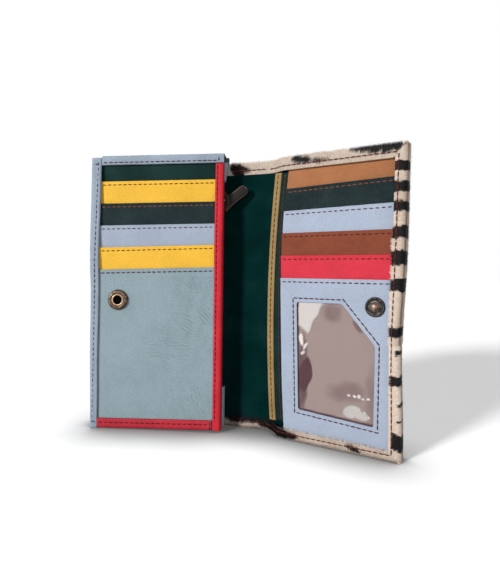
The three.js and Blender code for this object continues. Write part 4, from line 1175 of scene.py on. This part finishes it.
def revolve(name, body, look, to_row, u, seat, profile, replaces=()):
    """Turned part from (radius, height) points, given round its section from the bore out."""
    angles = np.linspace(0, 2 * math.pi, TURNED_SIDES, endpoint=False)
    points = [(u + radius * math.cos(angle), seat + height, SNAP_HEIGHT + radius * math.sin(angle))
              for radius, height in profile for angle in angles]
    count = len(profile)
    faces = []
    for k in range(count if profile[0][0] > 0 else count - 1):
        a, b = k * TURNED_SIDES, (k + 1) % count * TURNED_SIDES
        for m in range(TURNED_SIDES):
            n = (m + 1) % TURNED_SIDES
            faces.append((a + m, a + n, b + n, b + m))
    make_object(name, to_row(*np.array(points).T), faces, body, looks[look], replaces)


def arc_profile(r0, h0, r1, h1, bulge, steps=6):
    return [(r0 + (r1 - r0) * t + bulge[0] * math.sin(math.pi * t),
             h0 + (h1 - h0) * t + bulge[1] * math.sin(math.pi * t)) for t in np.linspace(0, 1, steps)]


def add_socket():
    seat = large_front(POUCH)
    ring = ([(4.5, 0.05), (7.4, 0.05)] + arc_profile(7.5, 0.25, 5.4, 2.3, (0.35, 0.45), 9)
            + [(4.9, 2.1), (4.5, 1.8)])
    eyelet = ([(3.3, -1.0), (5.3, -1.0), (5.3, -0.8), (3.7, -0.8), (3.7, 0.1), (4.4, 0.1)]
              + arc_profile(4.45, 1.5, 3.3, 1.6, (0.0, 0.35), 7))
    # Painted shade: a near-black disc inside the eyelet stands for the shade in the socket's hole
    hole_shade = [(0.0, 0.15), (3.2, 0.15), (3.2, 0.3), (0.0, 0.35)]
    for name, look, profile, replaces in (("socket_ring", "dark_bronze", ring, ("snap_socket",)),
                                          ("socket_eyelet", "worn_bronze", eyelet, ("snap_eyelet",)),
                                          ("socket_hollow", "hole_shade", hole_shade, ())):
        revolve(name, "left_half", look, on_pouch, SOCKET_PLACE, seat, profile, replaces)


def add_stud():
    seat = large_front(LEAF)
    plate = ([(1.9, 0.05), (6.3, 0.05)] + arc_profile(6.4, 0.2, 5.5, 1.2, (0.2, 0.1))
             + arc_profile(5.1, 1.15, 4.2, 0.7, (0.0, -0.1), 4)
             + arc_profile(3.9, 0.75, 1.9, 0.65, (0.0, 0.25)))
    height = SPINE_WIDTH - seat - large_front(POUCH) - 2.4 + 1.2
    post = ([(0.0, -1.1), (3.2, -1.1), (3.2, -0.8), (1.8, -0.8), (1.8, 0.75)]
            + arc_profile(2.8, 0.78, 2.0, 1.5, (-0.25, 0.0), 5)
            + arc_profile(1.95, height - 1.6, 1.5, height - 0.1, (0.35, 0.0), 8) + [(0.0, height)])
    revolve("stud_plate", "right_leaf", "gunmetal", on_leaf, SNAP_REACH, seat, plate, ("stud_base",))
    revolve("stud_head", "right_leaf", "stud_tip", on_leaf, SNAP_REACH, seat, post, ("stud_post",))
    points, faces = [], []
    for k in range(STUD_BEADS):
        angle = 2 * math.pi * k / STUD_BEADS
        bead = bmesh.new()
        bmesh.ops.create_icosphere(bead, subdivisions=2, radius=BEAD_RADIUS)
        base = len(points)
        for vertex in bead.verts:
            points.append((SNAP_REACH + BEAD_CIRCLE * math.cos(angle) + vertex.co.x,
                           seat + 1.0 + vertex.co.y * 0.7,
                           SNAP_HEIGHT + BEAD_CIRCLE * math.sin(angle) + vertex.co.z))
        faces += [[base + vertex.index for vertex in face.verts] for face in bead.faces]
        bead.free()
    make_object("stud_beads", on_leaf(*np.array(points).T), faces, "right_leaf", looks["gunmetal"])


# Zip
def refined(name, node, body, look, width, segments):
    """A copy of a solid with its sharp edges rounded over."""
    mesh = frame["nodes"][node].data.copy()
    mesh.name = name
    work = bmesh.new()
    work.from_mesh(mesh)
    bmesh.ops.remove_doubles(work, verts=work.verts, dist=1e-6)
    bmesh.ops.dissolve_limit(work, angle_limit=0.02, verts=work.verts, edges=work.edges)
    sharp = [edge for edge in work.edges if len(edge.link_faces) == 2 and edge.calc_face_angle() > 0.5]
    bmesh.ops.bevel(work, geom=sharp, offset=width * MM, segments=segments, affect="EDGES",
                    clamp_overlap=True)
    work.to_mesh(mesh)
    work.free()
    mesh.materials.clear()
    slot, material = looks[look]
    finish_object(name, mesh, body, material, (node,))


def strap(name, line, width, thickness, depth, replaces=()):
    """A flat strap along a line of (u, z) points, round at its far end, with softened edges."""
    line = np.array(line, float)
    lengths = line_lengths(line)
    total, half_width = lengths[-1], width / 2
    rounded = total - half_width * (1 - np.sin(np.linspace(0.1, math.pi / 2, 9)))
    at = np.concatenate([np.linspace(0, total - half_width, 28), rounded])
    u, z = along_line(line, lengths, at).T
    du, dz = np.gradient(u), np.gradient(z)
    size = np.maximum(np.hypot(du, dz), 1e-9)
    tip = np.clip((at - (total - half_width)) / half_width, 0, 1)[:, None]
    half = half_width * np.sqrt(np.maximum(1 - tip * tip, 0.0004))
    share = np.sin(np.linspace(-math.pi / 2, math.pi / 2, 15))
    round_off = thickness / 2 * np.sqrt(np.maximum(1 - np.abs(share) ** 5, 0.02))
    uu = u[:, None] - (dz / size)[:, None] * half * share
    zz = z[:, None] + (du / size)[:, None] * half * share
    level = depth(at / total)[:, None]
    points, faces = closed_slab(on_pouch(uu, level + round_off, zz), on_pouch(uu, level - round_off, zz))
    made = make_object(name, points, faces, "zip_pull", looks["thong"], replaces)
    edge = np.maximum(np.abs(share) ** 7, tip ** 6).ravel()
    paint(made, "edge", np.concatenate([edge, edge])[match_points(piece_points(made), points)])
    return made


def add_thong():
    main = strap("pull_strap", [(-1.5, 161.5), (4.0, 167.0), (15.8, 176.2)], 7.2, 1.7,
                 lambda t: 7.2 + 1.2 * t, ("pull_thong",))
    tail = strap("pull_tail", [(-1.2, 173.0), (1.2, 169.0), (1.6, 164.5), (0.2, 160.2)], 3.0, 1.1,
                 lambda t: 8.6 - 0.6 * t)
    for piece in (main, tail):
        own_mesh(piece)


def add_zip():
    refined("zip_tape_inner", "zip_tape_back", "left_half", "tape", 0.12, 1)
    refined("zip_tape_outer", "zip_tape_front", "left_half", "tape", 0.12, 1)
    tabs = [("zip_end_top", lambda a, t: (0.2 + 2.0 * smooth_step(t, 180.0, 194.0) - a, t), (180.9, 194.5),
             "zip_tab_top"),
            ("zip_end_foot", lambda a, t: (1.2 - a, t), (1.4, 30.0), "zip_tab_bottom")]
    for name, at, ends, node in tabs:
        binding(name, "left_half", looks["strip_blue"], on_pouch, at, ends, 2.7, 9.0, 5.0, 5.0,
                replaces=(node,), puff=0.1)
    sides = (-6.0, lambda z: 3.0 - 0.09 * (z - 196.0) ** 2)
    slab("zip_tape_end", "left_half", looks["tape"], on_pouch, sides, (191.0, 198.4),
         lambda u, z: 8.0 + 0 * u, 3.6, 1.0)
    refined("slider_body", "zip_slider", "zip_slider", "antique_brass", 0.2, 3)
    refined("slider_link", "pull_link", "zip_pull", "antique_brass", 0.05, 1)
    add_thong()


# Stage: a pale floor that runs to a white background, and keeps the shadow
FLOOR_SIZE = 6.0
FLOOR_LIFT = 0.06
SKY = 0.07
# Lamps: strength, softness, height and side angle, from the viewer's direction towards the right
LAMPS = {"key": (5.1, 11, 17.5, -46), "fill": (1.2, 50, 12, 42), "top": (1.32, 14, 83.5, 180),
         "back": (0.5, 60, 15, 160)}


def seen_directly(tree):
    """1 for what the camera sees, also in a mirroring surface."""
    return calculate(tree, "MAXIMUM", add_node(tree, "LightPath", "Is Camera Ray", {}),
                     add_node(tree, "LightPath", "Is Glossy Ray", {}))


def add_floor():
    mesh = bpy.data.meshes.new("floor")
    corners = [(x * FLOOR_SIZE, y * FLOOR_SIZE, 0) for x, y in ((-1, -1), (1, -1), (1, 1), (-1, 1))]
    mesh.from_pydata(corners, [], [(0, 1, 2, 3)])
    floor = bpy.data.objects.new("floor", mesh)
    bpy.context.scene.collection.objects.link(floor)
    material, tree, shader = new_material("floor", (0.9, 0.9, 0.9), 0.9, shine=0.0)
    # Painted contact shadow: the floor's colour darkens where the object stands close over it
    open_sky = add_node(tree, "AmbientOcclusion", "AO", {"Distance": 0.045}, samples=12)
    shade = ramp(tree, open_sky, grey((0.4, 0.12), (0.6, 0.34), (0.82, 0.72), (1.0, 0.9)))
    feed(tree, shader, {"Base Color": shade, "Emission Color": (1.0, 1.0, 1.0, 1.0),
                        "Emission Strength": calculate(tree, "MULTIPLY", seen_directly(tree), FLOOR_LIFT)})
    mesh.materials.append(material)


def add_world():
    world = bpy.data.worlds.new("studio")
    bpy.context.scene.world = world
    world.use_nodes = True
    tree = world.node_tree
    tree.nodes.clear()
    through = add_node(tree, "LightPath", "Is Transmission Ray", {})
    seen = calculate(tree, "MAXIMUM", seen_directly(tree), through)
    strength = add_node(tree, "MapRange", "Result", {"To Min": SKY, "To Max": 1.0, "Value": seen})
    background = add_node(tree, "Background", "Background",
                          {"Color": (1.0, 1.0, 1.0, 1.0), "Strength": strength})
    output = tree.nodes.new("ShaderNodeOutputWorld")
    feed(tree, output, {"Surface": background})


def add_lights():
    for name, (strength, softness, height, side) in LAMPS.items():
        sun = bpy.data.lights.new(name, "SUN")
        sun.energy = strength
        sun.angle = math.radians(softness)
        height, side = math.radians(height), math.radians(side)
        towards = Vector((math.sin(side) * math.cos(height), -math.cos(side) * math.cos(height),
                          math.sin(height)))
        lamp = bpy.data.objects.new(name, sun)
        lamp.rotation_euler = towards.to_track_quat("Z", "Y").to_euler()
        bpy.context.scene.collection.objects.link(lamp)


# Camera at the photograph's place: the picture is 500 by 570 pixels
FOCAL_PIXELS = 434.7
PICTURE_HEIGHT = 570
CAMERA_YAW = math.radians(-4.39)
CAMERA_PITCH = math.radians(-1.45)
CAMERA_ROLL = math.radians(0.79)
CAMERA_PLACE = (42.8, -324.7, 115.1)


def add_camera():
    camera = bpy.data.cameras.new("camera")
    camera.sensor_fit = "AUTO"
    camera.sensor_width = 36.0
    camera.lens = FOCAL_PIXELS * camera.sensor_width / PICTURE_HEIGHT
    camera.clip_start = 0.01
    made = bpy.data.objects.new("camera", camera)
    look = Vector((math.sin(CAMERA_YAW) * math.cos(CAMERA_PITCH),
                   math.cos(CAMERA_YAW) * math.cos(CAMERA_PITCH), math.sin(CAMERA_PITCH)))
    right = Vector((math.cos(CAMERA_YAW), -math.sin(CAMERA_YAW), 0.0))
    up = right.cross(look)
    turned_right = right * math.cos(CAMERA_ROLL) + up * math.sin(CAMERA_ROLL)
    turned_up = up * math.cos(CAMERA_ROLL) - right * math.sin(CAMERA_ROLL)
    matrix = Matrix((turned_right, turned_up, -look)).transposed().to_4x4()
    x, y, z = CAMERA_PLACE
    matrix.translation = Vector(((x + POUCH_EDGE[0]) * MM, (y + POUCH_EDGE[1]) * MM, z * MM))
    made.matrix_world = matrix
    bpy.context.scene.collection.objects.link(made)
    bpy.context.scene.camera = made


add_pouch_walls()
add_pouch_pockets()
add_pouch_bindings()
add_divider()
add_leaf_pockets()
add_window_panel()
add_window()
add_cover()
add_side_hems()
add_linings()
add_pouch_stitches()
add_leaf_stitches()
add_socket()
add_stud()
add_zip()
add_floor()
add_world()
add_lights()
add_camera()
bpy.context.scene.view_settings.view_transform = "Standard"
